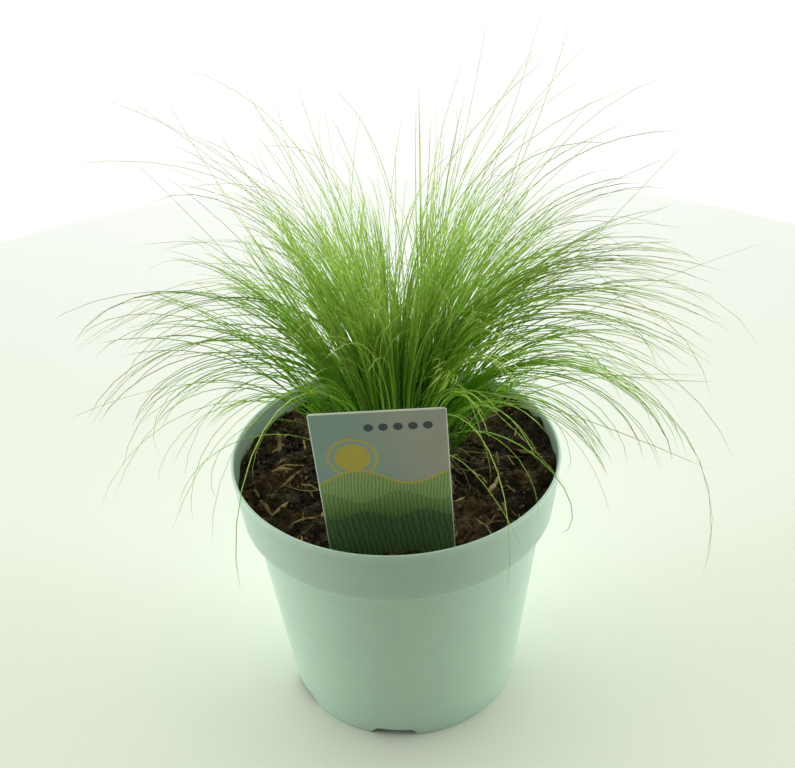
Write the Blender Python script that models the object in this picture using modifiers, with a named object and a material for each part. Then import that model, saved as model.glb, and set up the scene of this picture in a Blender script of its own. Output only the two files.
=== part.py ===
"""Mexican feather grass in a round nursery pot.

The frame: +Z up, the floor at z = 0, the pot's axis on the Z axis, and the label at the front, towards -Y.
All lengths are metres. A lean is an angle from the vertical, and an azimuth is counted from +X towards +Y.
"""
import math
import random
from collections import namedtuple

import bmesh
import bpy
from mathutils import Vector

MM = 0.001
GAP = 0.3 * MM                    # clearance between pieces that touch

# Pot, a thin moulded shell
POT_HEIGHT = 145.0 * MM
RIM_RADIUS = 85.0 * MM            # outer, at the very top
LIP_WALL = 1.6 * MM
BAND_HEIGHT = 30.6 * MM
BAND_FOOT_RADIUS = 81.7 * MM      # outer, at the band's lower edge
BODY_TOP_RADIUS = 77.0 * MM       # outer, just under the band
BASE_RADIUS = 64.0 * MM
BODY_WALL = 1.4 * MM
FOOT_HEIGHT = 5.0 * MM            # the floor's underside stands this high
FOOT_WALL = 2.6 * MM
FLOOR_WALL = 1.6 * MM
POT_STEPS = 44

NOTCH_AZIMUTHS = (-97.0, -152.0, 83.0, 28.0)
NOTCH_WIDTH = 26.0 * MM           # at the floor
NOTCH_TOP_WIDTH = 19.0 * MM
NOTCH_HEIGHT = 4.6 * MM
DRAIN_COUNT = 6
DRAIN_RADIUS = 5.0 * MM
DRAIN_CIRCLE = 42.0 * MM

# Soil
SOIL_TOP = 133.0 * MM
SOIL_FLOOR = FOOT_HEIGHT + FLOOR_WALL + GAP
SOIL_LUMP = 1.5 * MM
SOIL_REAR_RISE = 7.0 * MM         # the soil stands higher at the right rear
SOIL_REAR_AZIMUTH = 35.0
SOIL_RINGS = 8
SOIL_STEPS = 36

# Label
LABEL_WIDTH = 59.5 * MM
LABEL_TOP = 214.4 * MM            # middle of its top edge
LABEL_CARD = 88.0 * MM            # height of the card above its stake
LABEL_STAKE = 48.0 * MM
LABEL_STAKE_WIDTH = 16.0 * MM
LABEL_THICKNESS = 0.6 * MM
LABEL_CORNER = 1.2 * MM
LABEL_X = -7.4 * MM
LABEL_Y = -71.0 * MM
LABEL_TILT = 7.0                  # degrees, its top leans forward, in line with the pot's wall
LABEL_ROLL = 2.2                  # its top leans to the left
LABEL_TURN = -2.9                 # its right edge stands nearer

# Crown, the dense foot of the tuft
CROWN_RADIUS = 27.6 * MM
CROWN_DEPTH = 9.0 * MM            # sunk in the soil
CROWN_RISE = 7.0 * MM             # its middle stands this far over the soil
CROWN_SHOULDER = 2.0 * MM
CROWN_FLUTES = 14                 # one swelling for each outermost lock
CROWN_FLUTE_DEPTH = 0.8 * MM
CROWN_STEPS = 28

# Locks of blades, in rings from the outer skirt to the upright heart. bend is the power with which
# the lean grows along a lock: under 1 it bends early, over 1 it stays straight and bends at the tip.
# Their numbers, in order: how many, radius of their feet, lean at the foot and at the tip, scatter of the
# tip's lean, bend, length, width, thickness, sideways reach of the outer tips, and segments along the
# gathered stretch and along each tip.
Ring = namedtuple("Ring", [
    "name", "count", "radius", "lean", "end_lean", "droop_scatter", "bend",
    "length", "width", "depth", "spread", "gathered", "fingers",
])
RINGS = (
    Ring("skirt", 14, 23.4 * MM, 17.0, 150.0, 9.0, 1.45, 222.0 * MM, 7.2 * MM, 3.4 * MM, 17.0 * MM, 3, 3),
    Ring("outer", 14, 18.2 * MM, 12.5, 92.0, 5.0, 1.60, 208.0 * MM, 6.2 * MM, 3.4 * MM, 16.0 * MM, 3, 3),
    Ring("middle", 12, 13.0 * MM, 9.5, 62.0, 4.0, 1.30, 212.0 * MM, 5.4 * MM, 3.2 * MM, 14.0 * MM, 3, 2),
    Ring("inner", 8, 8.0 * MM, 6.5, 44.0, 3.0, 1.30, 221.0 * MM, 4.4 * MM, 3.0 * MM, 11.0 * MM, 2, 2),
    Ring("heart", 6, 3.4 * MM, 3.5, 23.0, 2.0, 1.20, 227.0 * MM, 2.6 * MM, 2.4 * MM, 7.0 * MM, 2, 2),
)
RIGHT_REACH = 0.05                # the locks on the right are longer by this share, on the left shorter
RIGHT_DROOP = 0.08                # and they end with more lean by this share
PARTING_AZIMUTH = 65.0            # the tips at the rear turn away from this side
PARTING = 8.0                     # by this many degrees at most
REAR_REACH = 0.84                 # rear reach, as a share of the reach at the sides
FRONT_REACH = 0.98
FRONT_AZIMUTH = -97.0             # towards the label
FRONT_LEAN = 0.50                 # front locks rise steeply behind the label: share of their ring's lean
FRONT_END_LEAN = 0.62             # and this share of it at their tips
FRONT_BEND = 1.6
AZIMUTH_SCATTER = 2.0
LENGTH_SCATTER = 0.04
SWIRL = 5.0                       # degrees that a lock turns sideways by its tip
LOCK_SPLIT = 0.40                 # share of the length where a lock parts into three tips
TIP_SPREAD_BEND = 1.3             # the tips part slowly at first
TIP_LIFT = 7.0 * MM
SEED = 2

COLOURS = {
    "pot_plastic": ((0.50, 0.68, 0.57, 1.0), 0.45),
    "soil": ((0.028, 0.020, 0.013, 1.0), 0.95),
    "label_card": ((0.42, 0.52, 0.47, 1.0), 0.35),
    "grass_base": ((0.10, 0.13, 0.03, 1.0), 0.7),
    "grass": ((0.16, 0.36, 0.04, 1.0), 0.5),
}


def clear_scene():
    """Remove every object that the file holds."""
    for obj in list(bpy.data.objects):
        bpy.data.objects.remove(obj, do_unlink=True)


def new_collection(name):
    """Make a collection under the scene."""
    collection = bpy.data.collections.new(name)
    bpy.context.scene.collection.children.link(collection)
    return collection


def make_material(name):
    """Make a plain material with the part's colour and roughness."""
    colour, roughness = COLOURS[name]
    material = bpy.data.materials.new(name)
    material.use_nodes = True
    shader = material.node_tree.nodes["Principled BSDF"]
    shader.inputs["Base Color"].default_value = colour
    shader.inputs["Roughness"].default_value = roughness
    shader.inputs["Metallic"].default_value = 0.0
    return material


def add_object(name, data, collection, material=None):
    """Link an object that holds data, with its material."""
    obj = bpy.data.objects.new(name, data)
    collection.objects.link(obj)
    if material is not None:
        data.materials.append(material)
    return obj


def turned(name, profile, steps, collection, material=None):
    """Turn a profile of (radius, height) points about the Z axis with a Screw modifier."""
    mesh = bpy.data.meshes.new(name)
    points = [(radius, 0.0, height) for radius, height in profile]
    edges = [(i, i + 1) for i in range(len(points) - 1)]
    mesh.from_pydata(points, edges, [])
    obj = add_object(name, mesh, collection, material)
    screw = obj.modifiers.new("turn", "SCREW")
    screw.steps = steps
    screw.render_steps = steps
    screw.use_merge_vertices = True
    screw.merge_threshold = 0.00002
    return obj


def apply_modifiers(obj):
    """Replace an object's mesh by its evaluated mesh, and drop its modifiers."""
    graph = bpy.context.evaluated_depsgraph_get()
    mesh = bpy.data.meshes.new_from_object(obj.evaluated_get(graph))
    old = obj.data
    obj.modifiers.clear()
    obj.data = mesh
    mesh.name = obj.name
    if old.users == 0:
        bpy.data.meshes.remove(old)


def cut(obj, cutter):
    """Take the cutter's volume out of an object with a Boolean modifier."""
    boolean = obj.modifiers.new("cut_" + cutter.name, "BOOLEAN")
    boolean.operation = "DIFFERENCE"
    boolean.solver = "EXACT"
    boolean.object = cutter


def add_cutter(name, bm, collection):
    """Turn a bmesh into a cutter, shown as wires and never rendered."""
    mesh = bpy.data.meshes.new(name)
    bm.to_mesh(mesh)
    bm.free()
    obj = add_object(name, mesh, collection)
    obj.hide_render = True
    obj.display_type = "WIRE"
    return obj


def wall_radius(height):
    """Inner radius of the pot's wall at a height, the step under the band counted."""
    if height > POT_HEIGHT - BAND_HEIGHT + BODY_WALL:
        share = (POT_HEIGHT - height) / BAND_HEIGHT
        return RIM_RADIUS - LIP_WALL + share * (BAND_FOOT_RADIUS - RIM_RADIUS)
    share = height / (POT_HEIGHT - BAND_HEIGHT)
    return BASE_RADIUS + share * (BODY_TOP_RADIUS - BASE_RADIUS) - BODY_WALL


def pot_profile():
    """Outline of the pot's wall: up the inside, over the lip and down the outside to the foot."""
    floor_top = FOOT_HEIGHT + FLOOR_WALL
    step = POT_HEIGHT - BAND_HEIGHT
    lip_round = 0.45 * MM
    inner_lip = RIM_RADIUS - LIP_WALL
    return [
        (0.0, floor_top),
        (wall_radius(floor_top) - 2.0 * MM, floor_top),
        (wall_radius(floor_top + 2.0 * MM), floor_top + 2.0 * MM),
        (wall_radius(step - 1.0 * MM), step - 1.0 * MM),
        (wall_radius(step + 2.4 * MM), step + 2.4 * MM),
        (inner_lip, POT_HEIGHT - lip_round),
        (inner_lip + lip_round, POT_HEIGHT),
        (RIM_RADIUS - lip_round, POT_HEIGHT),
        (RIM_RADIUS, POT_HEIGHT - lip_round),
        (BAND_FOOT_RADIUS, step + lip_round),
        (BAND_FOOT_RADIUS - lip_round, step),
        (BODY_TOP_RADIUS, step),
        (BASE_RADIUS + 0.3 * MM, 1.2 * MM),
        (BASE_RADIUS - 0.4 * MM, 0.0),
        (BASE_RADIUS - FOOT_WALL, 0.0),
        (BASE_RADIUS - FOOT_WALL, FOOT_HEIGHT),
        (0.0, FOOT_HEIGHT),
    ]


def notch_cutter(name, azimuth, collection):
    """Make the cutter of one foot notch: a box whose top is narrower, across the foot ring."""
    bm = bmesh.new()
    bmesh.ops.create_cube(bm, size=1.0)
    depth = 9.0 * MM
    below = 3.0 * MM
    for vert in bm.verts:
        top = vert.co.z > 0.0
        slope = (NOTCH_WIDTH - NOTCH_TOP_WIDTH) / NOTCH_HEIGHT
        width = NOTCH_TOP_WIDTH if top else NOTCH_WIDTH + slope * below
        vert.co.x = vert.co.x * depth + BASE_RADIUS - 0.5 * FOOT_WALL
        vert.co.y *= width
        vert.co.z = NOTCH_HEIGHT if top else -below
    obj = add_cutter(name, bm, collection)
    obj.rotation_euler.z = math.radians(azimuth)
    return obj


def drain_cutter(name, azimuth, collection):
    """Make the cutter of one round drain hole."""
    bm = bmesh.new()
    bmesh.ops.create_cone(bm, cap_ends=True, segments=12, radius1=DRAIN_RADIUS, radius2=DRAIN_RADIUS,
                          depth=3.0 * FLOOR_WALL)
    obj = add_cutter(name, bm, collection)
    turn = math.radians(azimuth)
    middle = FOOT_HEIGHT + 0.5 * FLOOR_WALL
    obj.location = (DRAIN_CIRCLE * math.cos(turn), DRAIN_CIRCLE * math.sin(turn), middle)
    return obj


def build_pot(parts, cutters, material):
    """Turn the pot's shell, then cut its foot notches and drain holes."""
    pot = turned("pot", pot_profile(), POT_STEPS, parts, material)
    for index, azimuth in enumerate(NOTCH_AZIMUTHS):
        cut(pot, notch_cutter(f"notch_{index + 1}", azimuth, cutters))
    for index in range(DRAIN_COUNT):
        cut(pot, drain_cutter(f"drain_{index + 1}", index * 360.0 / DRAIN_COUNT + 30.0, cutters))
    return pot


def soil_height(x, y):
    """Height of the soil's top at a place: level, with a rise at the right rear and low lumps."""
    radius = math.hypot(x, y)
    turn = math.atan2(y, x) - math.radians(SOIL_REAR_AZIMUTH)
    edge = (radius / (RIM_RADIUS - LIP_WALL)) ** 3
    rise = SOIL_REAR_RISE * edge * max(0.0, math.cos(turn)) ** 2
    front = 2.0 * MM * edge * max(0.0, -y / (radius + 1e-6))
    lumps = math.sin(x * 210.0 + 1.0) * math.sin(y * 190.0) + 0.6 * math.sin(x * 430.0 - y * 350.0 + 2.0)
    return SOIL_TOP + rise - front + SOIL_LUMP * lumps * min(1.0, radius / (40.0 * MM))


def soil_profile():
    """Outline of the soil: from the middle of its top out to the wall and down the wall to the floor."""
    step = POT_HEIGHT - BAND_HEIGHT
    edge = wall_radius(SOIL_TOP) - GAP
    profile = [(edge * i / SOIL_RINGS, SOIL_TOP) for i in range(SOIL_RINGS + 1)]
    profile += [
        (wall_radius(step + 3.2 * MM) - 2.0 * GAP, step + 3.2 * MM),
        (wall_radius(step - 0.6 * MM) - 2.0 * GAP, step - 0.6 * MM),
        (wall_radius(SOIL_FLOOR + 3.0 * MM) - 2.0 * GAP, SOIL_FLOOR + 3.0 * MM),
        (wall_radius(SOIL_FLOOR) - 3.0 * MM, SOIL_FLOOR),
        (0.0, SOIL_FLOOR),
    ]
    return profile


def build_soil(parts, cutters, material):
    """Turn the soil plug, raise its lumps, and cut the seats of the crown and the label."""
    soil = turned("soil", soil_profile(), SOIL_STEPS, parts, material)
    apply_modifiers(soil)
    for vert in soil.data.vertices:
        if vert.co.z > SOIL_TOP - 0.1 * MM:
            vert.co.z = soil_height(vert.co.x, vert.co.y)
            radius = math.hypot(vert.co.x, vert.co.y)
            limit = wall_radius(vert.co.z) - 2.0 * GAP
            if radius > limit - 1.0 * MM:
                vert.co.x *= limit / radius
                vert.co.y *= limit / radius
    cut(soil, crown_seat_cutter(cutters))
    cut(soil, label_slot_cutter(cutters))
    return soil


def crown_top(radius):
    """Height of the crown's upper surface, a low dome."""
    return SOIL_TOP + CROWN_RISE - (CROWN_RISE - CROWN_SHOULDER) * (radius / CROWN_RADIUS) ** 2


def crown_profile(outset, top_outset):
    """Outline of the crown from its top to its sunk underside, grown by an outset all round."""
    radii = [CROWN_RADIUS * share for share in (0.0, 0.3, 0.6, 0.85, 1.0)]
    profile = [(radius, crown_top(radius) + top_outset) for radius in radii[:-1]]
    profile.append((CROWN_RADIUS + outset, crown_top(CROWN_RADIUS) + top_outset - 0.6 * MM))
    profile.append((CROWN_RADIUS + outset, SOIL_TOP - CROWN_DEPTH - outset))
    profile.append((0.0, SOIL_TOP - CROWN_DEPTH - outset))
    return profile


def flute(obj):
    """Swell and pinch the outer ring of a turned crown, once for each of its flutes."""
    apply_modifiers(obj)
    for vert in obj.data.vertices:
        radius = math.hypot(vert.co.x, vert.co.y)
        if radius > 0.95 * CROWN_RADIUS:
            turn = math.atan2(vert.co.y, vert.co.x)
            share = 1.0 + CROWN_FLUTE_DEPTH / radius * math.cos(CROWN_FLUTES * turn)
            vert.co.x *= share
            vert.co.y *= share


def build_crown(parts, material):
    """Turn the crown's low dome and flute its side."""
    crown = turned("crown", crown_profile(0.0, 0.0), CROWN_STEPS, parts, material)
    flute(crown)


def crown_seat_cutter(collection):
    """Make the cutter of the crown's seat, larger by the gap and open upwards."""
    obj = turned("crown_seat", crown_profile(1.5 * GAP, 20.0 * MM), CROWN_STEPS, collection)
    flute(obj)
    obj.hide_render = True
    obj.display_type = "WIRE"
    return obj


def label_outline(outset):
    """Outline of the label, seen from the front: a card with rounded corners over a pointed stake."""
    half = 0.5 * LABEL_WIDTH + outset
    top = outset
    foot = -LABEL_CARD - outset
    shoulder = -LABEL_CARD - 0.22 * LABEL_STAKE - outset
    point = -LABEL_CARD - LABEL_STAKE - outset
    stake = 0.5 * LABEL_STAKE_WIDTH + outset
    corner = LABEL_CORNER
    outline = []
    for side in (1.0, -1.0):
        start = 0.0 if side > 0.0 else 90.0
        for step in range(4):
            turn = math.radians(start + 30.0 * step)
            x = side * (half - corner) + corner * math.cos(turn)
            outline.append((x, top - corner + corner * math.sin(turn)))
    outline.append((-half, foot + 2.0 * MM))
    outline.append((-stake, shoulder))
    outline.append((0.0, point))
    outline.append((stake, shoulder))
    outline.append((half, foot + 2.0 * MM))
    return outline


def label_curve(name, outset, half_thickness, collection, material=None):
    """Make the label's outline as a filled flat curve, stood up in the soil."""
    curve = bpy.data.curves.new(name, "CURVE")
    curve.dimensions = "2D"
    curve.fill_mode = "BOTH"
    curve.extrude = half_thickness
    curve.resolution_u = 1
    curve.render_resolution_u = 0
    points = label_outline(outset)
    spline = curve.splines.new("POLY")
    spline.points.add(len(points) - 1)
    for point, (x, z) in zip(spline.points, points):
        point.co = (x, z, 0.0, 1.0)
    spline.use_cyclic_u = True
    obj = add_object(name, curve, collection, material)
    obj.rotation_euler = (math.radians(90.0 + LABEL_TILT), -math.radians(LABEL_ROLL), math.radians(LABEL_TURN))
    obj.location = (LABEL_X, LABEL_Y, LABEL_TOP)
    return obj


def curve_to_mesh(obj):
    """Replace a curve object by a mesh object of the same name, with its caps welded on."""
    graph = bpy.context.evaluated_depsgraph_get()
    mesh = bpy.data.meshes.new_from_object(obj.evaluated_get(graph))
    bm = bmesh.new()
    bm.from_mesh(mesh)
    bmesh.ops.remove_doubles(bm, verts=bm.verts, dist=0.00001)
    bm.to_mesh(mesh)
    bm.free()
    name = obj.name
    collection = obj.users_collection[0]
    matrix = obj.matrix_world.copy()
    bpy.data.objects.remove(obj, do_unlink=True)
    result = bpy.data.objects.new(name, mesh)
    collection.objects.link(result)
    result.matrix_world = matrix
    return result


def build_label(parts, material):
    """Make the label card with its stake."""
    obj = label_curve("label", 0.0, 0.5 * LABEL_THICKNESS, parts, material)
    bpy.context.view_layer.update()
    return curve_to_mesh(obj)


def label_slot_cutter(collection):
    """Make the cutter of the slot that the label stands in."""
    obj = label_curve("label_slot", GAP, 0.5 * LABEL_THICKNESS + GAP, collection)
    bpy.context.view_layer.update()
    obj = curve_to_mesh(obj)
    obj.hide_render = True
    obj.display_type = "WIRE"
    return obj


def mix(a, b, share):
    """Blend two numbers."""
    return a + (b - a) * share


def smooth_step(low, high, value):
    """Rise smoothly from 0 at low to 1 at high."""
    share = min(max((value - low) / (high - low), 0.0), 1.0)
    return share * share * (3.0 - 2.0 * share)


class Lock:
    """One lock of blades: a flattened bundle along an arc that parts into three pointed tips."""

    def __init__(self, ring, index, rng):
        """Place the lock in its ring, and draw its small differences from its neighbours."""
        pitch = 360.0 / ring.count
        self.ring = ring
        self.azimuth = FRONT_AZIMUTH + pitch * (index + 0.5) + rng.uniform(-1, 1) * AZIMUTH_SCATTER
        away = math.cos(math.radians(self.azimuth - FRONT_AZIMUTH))
        front = smooth_step(0.62, 0.90, away)
        rear = max(0.0, math.sin(math.radians(self.azimuth)))
        self.lean = ring.lean * mix(1.0, FRONT_LEAN, front)
        right = math.cos(math.radians(self.azimuth))
        end_lean = ring.end_lean * (1.0 + RIGHT_DROOP * right)
        self.end_lean = end_lean * mix(1.0, FRONT_END_LEAN, front)
        self.end_lean += rng.uniform(-1, 1) * mix(ring.droop_scatter, 2.0, front)
        self.bend = mix(ring.bend, FRONT_BEND, front)
        reach = mix(1.0, REAR_REACH, rear * rear) * mix(1.0, FRONT_REACH, max(0.0, away))
        reach *= 1.0 + RIGHT_REACH * right
        self.length = ring.length * reach * (1.0 + rng.uniform(-1, 1) * LENGTH_SCATTER)
        off = math.radians(self.azimuth - PARTING_AZIMUTH)
        self.swirl = rng.uniform(-1, 1) * SWIRL
        if math.cos(off) > 0.0:
            self.swirl += PARTING * math.sin(2.0 * off)
        self.tip_shares = [rng.uniform(0.88, 0.95), 1.0, rng.uniform(0.86, 0.94)]
        self.tip_lifts = [rng.uniform(-1, 1), 0.0, rng.uniform(-1, 1)]

    def path(self, count=40):
        """Walk the lock's middle line: at each step the lean grows and the azimuth turns a little."""
        points = []
        radius = self.ring.radius
        height = crown_top(radius) - 2.0 * MM
        step = self.length / count
        for i in range(count + 1):
            share = i / count
            turn = math.radians(self.azimuth + self.swirl * share * share)
            points.append(Vector((radius * math.cos(turn), radius * math.sin(turn), height)))
            middle = (i + 0.5) / count
            lean = math.radians(mix(self.lean, self.end_lean, middle ** self.bend))
            radius += step * math.sin(lean)
            height += step * math.cos(lean)
        return points

    def at(self, points, share):
        """Point and frame of the path at a share of its length: along, across and up."""
        place = min(max(share, 0.0), 1.0) * (len(points) - 1)
        low = min(int(place), len(points) - 2)
        point = points[low].lerp(points[low + 1], place - low)
        along = (points[low + 1] - points[low]).normalized()
        turn = math.radians(self.azimuth)
        across = Vector((-math.sin(turn), math.cos(turn), 0.0))
        up = across.cross(along).normalized()
        return point, along, across, up


def lock_size(ring, share):
    """Width and thickness of a lock at a share of its length: gathered at the crown, fuller in the middle."""
    swell = math.sin(math.pi * min(share / LOCK_SPLIT, 1.0) ** 0.8)
    width = ring.width * (1.0 + 0.75 * share / LOCK_SPLIT + 0.15 * swell)
    depth = ring.depth * (1.0 - 0.3 * share / LOCK_SPLIT + 0.1 * swell)
    return width, depth


def ring_offsets(width, depth):
    """Eight corners of a lock's section, across and up: the middle stands thicker than the edges."""
    halves = (-0.5, -0.17, 0.17, 0.5)
    thick = (0.28, 0.5, 0.5, 0.28)
    upper = [(width * a, depth * t) for a, t in zip(halves, thick)]
    lower = [(width * a, -depth * t) for a, t in zip(halves, thick)]
    return upper, lower


def seat_on_crown(point, along):
    """Slide a point along the lock until it sits a gap over the crown's surface."""
    for _ in range(12):
        miss = crown_top(math.hypot(point.x, point.y)) + GAP - point.z
        point = point + along * (miss / max(along.z, 0.3))
    return point


def lock_mesh(name, lock):
    """Loft a lock: a flat bundle of rings, then three four-sided tips that run to a point."""
    bm = bmesh.new()
    points = lock.path()
    gathered = lock.ring.gathered
    uppers = []
    lowers = []
    for j in range(gathered + 1):
        share = LOCK_SPLIT * j / gathered
        point, along, across, up = lock.at(points, share)
        width, depth = lock_size(lock.ring, share)
        upper, lower = ring_offsets(width, depth)
        rows = []
        for offsets in (upper, lower):
            row = []
            for a, u in offsets:
                place = point + across * a + up * u
                if j == 0:
                    place = seat_on_crown(place, along)
                row.append(bm.verts.new(place))
            rows.append(row)
        uppers.append(rows[0])
        lowers.append(rows[1])
    for j in range(gathered):
        loop_a = uppers[j] + lowers[j][::-1]
        loop_b = uppers[j + 1] + lowers[j + 1][::-1]
        bridge(bm, loop_a, loop_b)
    first = uppers[0] + lowers[0][::-1]
    bm.faces.new(first)
    for finger in range(3):
        grow_tip(bm, lock, points, finger, uppers[-1], lowers[-1])
    bmesh.ops.recalc_face_normals(bm, faces=bm.faces)
    mesh = bpy.data.meshes.new(name)
    bm.to_mesh(mesh)
    bm.free()
    return mesh


def bridge(bm, loop_a, loop_b):
    """Join two rings of the same count with four-sided faces."""
    count = len(loop_a)
    for k in range(count):
        n = (k + 1) % count
        bm.faces.new((loop_a[k], loop_a[n], loop_b[n], loop_b[k]))


def grow_tip(bm, lock, points, finger, upper, lower):
    """Grow one of the three tips from its cell of the lock's last ring to a point."""
    side = finger - 1
    loop = [upper[finger], upper[finger + 1], lower[finger + 1], lower[finger]]
    width, depth = lock_size(lock.ring, LOCK_SPLIT)
    end = lock.tip_shares[finger]
    rings = lock.ring.fingers
    for step in range(1, rings + 2):
        part = step / (rings + 1.0)
        point, _, across, up = lock.at(points, mix(LOCK_SPLIT, end, part))
        middle = point + across * side * (0.335 * width + lock.ring.spread * part ** TIP_SPREAD_BEND)
        middle += up * lock.tip_lifts[finger] * TIP_LIFT * part
        if step > rings:
            apex = bm.verts.new(middle)
            for k in range(4):
                bm.faces.new((loop[k], loop[(k + 1) % 4], apex))
            break
        thin = 1.0 - 0.75 * part
        half = 0.165 * width * thin
        tall = 0.36 * depth * thin
        corners = ((-half, tall), (half, tall), (half, -tall), (-half, -tall))
        ring = [bm.verts.new(middle + across * a + up * u) for a, u in corners]
        bridge(bm, loop, ring)
        loop = ring


def build_locks(parts, material):
    """Grow every ring of locks round the crown."""
    rng = random.Random(SEED)
    for ring in RINGS:
        for index in range(ring.count):
            name = f"{ring.name}_lock_{index + 1:02d}"
            add_object(name, lock_mesh(name, Lock(ring, index, rng)), parts, material)


def main():
    """Build the potted grass."""
    clear_scene()
    parts = new_collection("potted_feather_grass")
    cutters = new_collection("cutters")
    materials = {name: make_material(name) for name in COLOURS}
    build_pot(parts, cutters, materials["pot_plastic"])
    build_crown(parts, materials["grass_base"])
    build_label(parts, materials["label_card"])
    build_soil(parts, cutters, materials["soil"])
    build_locks(parts, materials["grass"])


main()
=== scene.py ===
"""Mexican feather grass in a round nursery pot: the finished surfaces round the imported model.

Lengths are metres and lie in the model's own frame: +Z up, the floor at z = 0, the pot's axis on the Z axis
and the label at the front, towards -Y. A lean is an angle from the vertical, and an azimuth is counted from
+X towards +Y. Each sub-assembly is a class with its sizes as fields, and main builds them in order.
"""

import itertools
import logging
import math
import random
from dataclasses import dataclass, field
from enum import Enum
from typing import Sequence

import bmesh
import bpy
import numpy as np
from mathutils import Matrix
from numpy.random import Generator, default_rng


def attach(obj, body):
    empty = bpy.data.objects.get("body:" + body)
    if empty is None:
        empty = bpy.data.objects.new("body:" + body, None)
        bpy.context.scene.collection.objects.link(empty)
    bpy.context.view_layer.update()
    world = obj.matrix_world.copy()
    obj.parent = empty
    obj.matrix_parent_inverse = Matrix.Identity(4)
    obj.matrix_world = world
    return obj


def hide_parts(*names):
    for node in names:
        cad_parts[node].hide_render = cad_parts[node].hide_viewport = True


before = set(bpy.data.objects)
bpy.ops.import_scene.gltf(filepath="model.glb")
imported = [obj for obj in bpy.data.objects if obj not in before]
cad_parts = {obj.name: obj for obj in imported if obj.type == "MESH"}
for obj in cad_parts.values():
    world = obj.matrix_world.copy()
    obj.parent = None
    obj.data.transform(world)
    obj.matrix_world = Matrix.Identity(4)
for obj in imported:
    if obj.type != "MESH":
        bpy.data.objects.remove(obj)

Array = np.ndarray
Pair = tuple[float, float]
Point = tuple[float, float, float]
Colour = tuple[float, float, float]
Socket = bpy.types.NodeSocket
Material = bpy.types.Material

LOG = logging.getLogger("feather_grass")
MM = 0.001
BODY = "root"
TURN = 2.0 * math.pi
# Width of the photograph, in pixels.
IMAGE_WIDTH = 795
# Upward part of a direction past which it counts as steep.
STEEP = 0.8


def mix(a: Array | float, b: Array | float, share: Array | float) -> Array | float:
    """Blend two numbers or arrays: a where the share is 0 and b where it is 1."""
    return a + (b - a) * share


def smooth_step(low: float, high: float, value: Array | float) -> Array:
    """Rise from 0 at low to 1 at high along the cubic 3 s^2 - 2 s^3."""
    share = np.clip((np.asarray(value, float) - low) / (high - low), 0.0, 1.0)
    return share * share * (3.0 - 2.0 * share)


def unit(vectors: Array) -> Array:
    """Scale vectors to length 1."""
    return vectors / np.maximum(np.linalg.norm(vectors, axis=-1, keepdims=True), 1e-12)


def polar(radius: Array, turn: Array, height: Array) -> Array:
    """Points from their radius, azimuth in radians and height."""
    return np.stack(np.broadcast_arrays(radius * np.cos(turn), radius * np.sin(turn), height), axis=-1)


def lattice_noise(points: Array, scale: float, seed: int) -> Array:
    """Smooth noise: a hashed number at each corner of a cubic lattice, blended by smooth steps.

    Args:
        points: Places, as an array of any shape whose last axis is x, y, z.
        scale: Width of a lattice cell.
        seed: Picks the pattern.

    Returns:
        Numbers from -1 to 1, one for each place.
    """
    cells = points / scale
    low = np.floor(cells).astype(np.int64)
    part = cells - low
    part = part * part * (3.0 - 2.0 * part)
    total = np.zeros(points.shape[:-1])
    for corner in itertools.product((0, 1), repeat=3):
        place = low + np.array(corner)
        code = place[..., 0] * 73856093 ^ place[..., 1] * 19349663 ^ place[..., 2] * 83492791 ^ seed * 2654435
        code = (code ^ (code >> 13)) * 1274126177 & 0x7FFFFFFF
        value = (code ^ (code >> 16)) % 65536 / 32767.5 - 1.0
        weight = np.prod(np.where(np.array(corner) == 1, part, 1.0 - part), axis=-1)
        total += weight * value
    return total


@dataclass(frozen=True)
class Spread:
    """The two ends of a random number, and the power that crowds it towards its low end."""

    low: float
    high: float
    power: float = 1.0

    def draw(self, rng: Generator, size: int | tuple[int, int]) -> Array:
        """Draw numbers: the low end plus the range times an even share raised to the power."""
        return mix(self.low, self.high, rng.random(size) ** self.power)


@dataclass(frozen=True)
class Tint:
    """A colour number that varies normally: its mean and scatter, and the limits that it is cut to."""

    mean: float
    scatter: float
    low: float
    high: float

    def draw(self, rng: Generator, count: int) -> Array:
        """Draw numbers and cut them to the limits."""
        return np.clip(rng.normal(self.mean, self.scatter, count), self.low, self.high)


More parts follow.
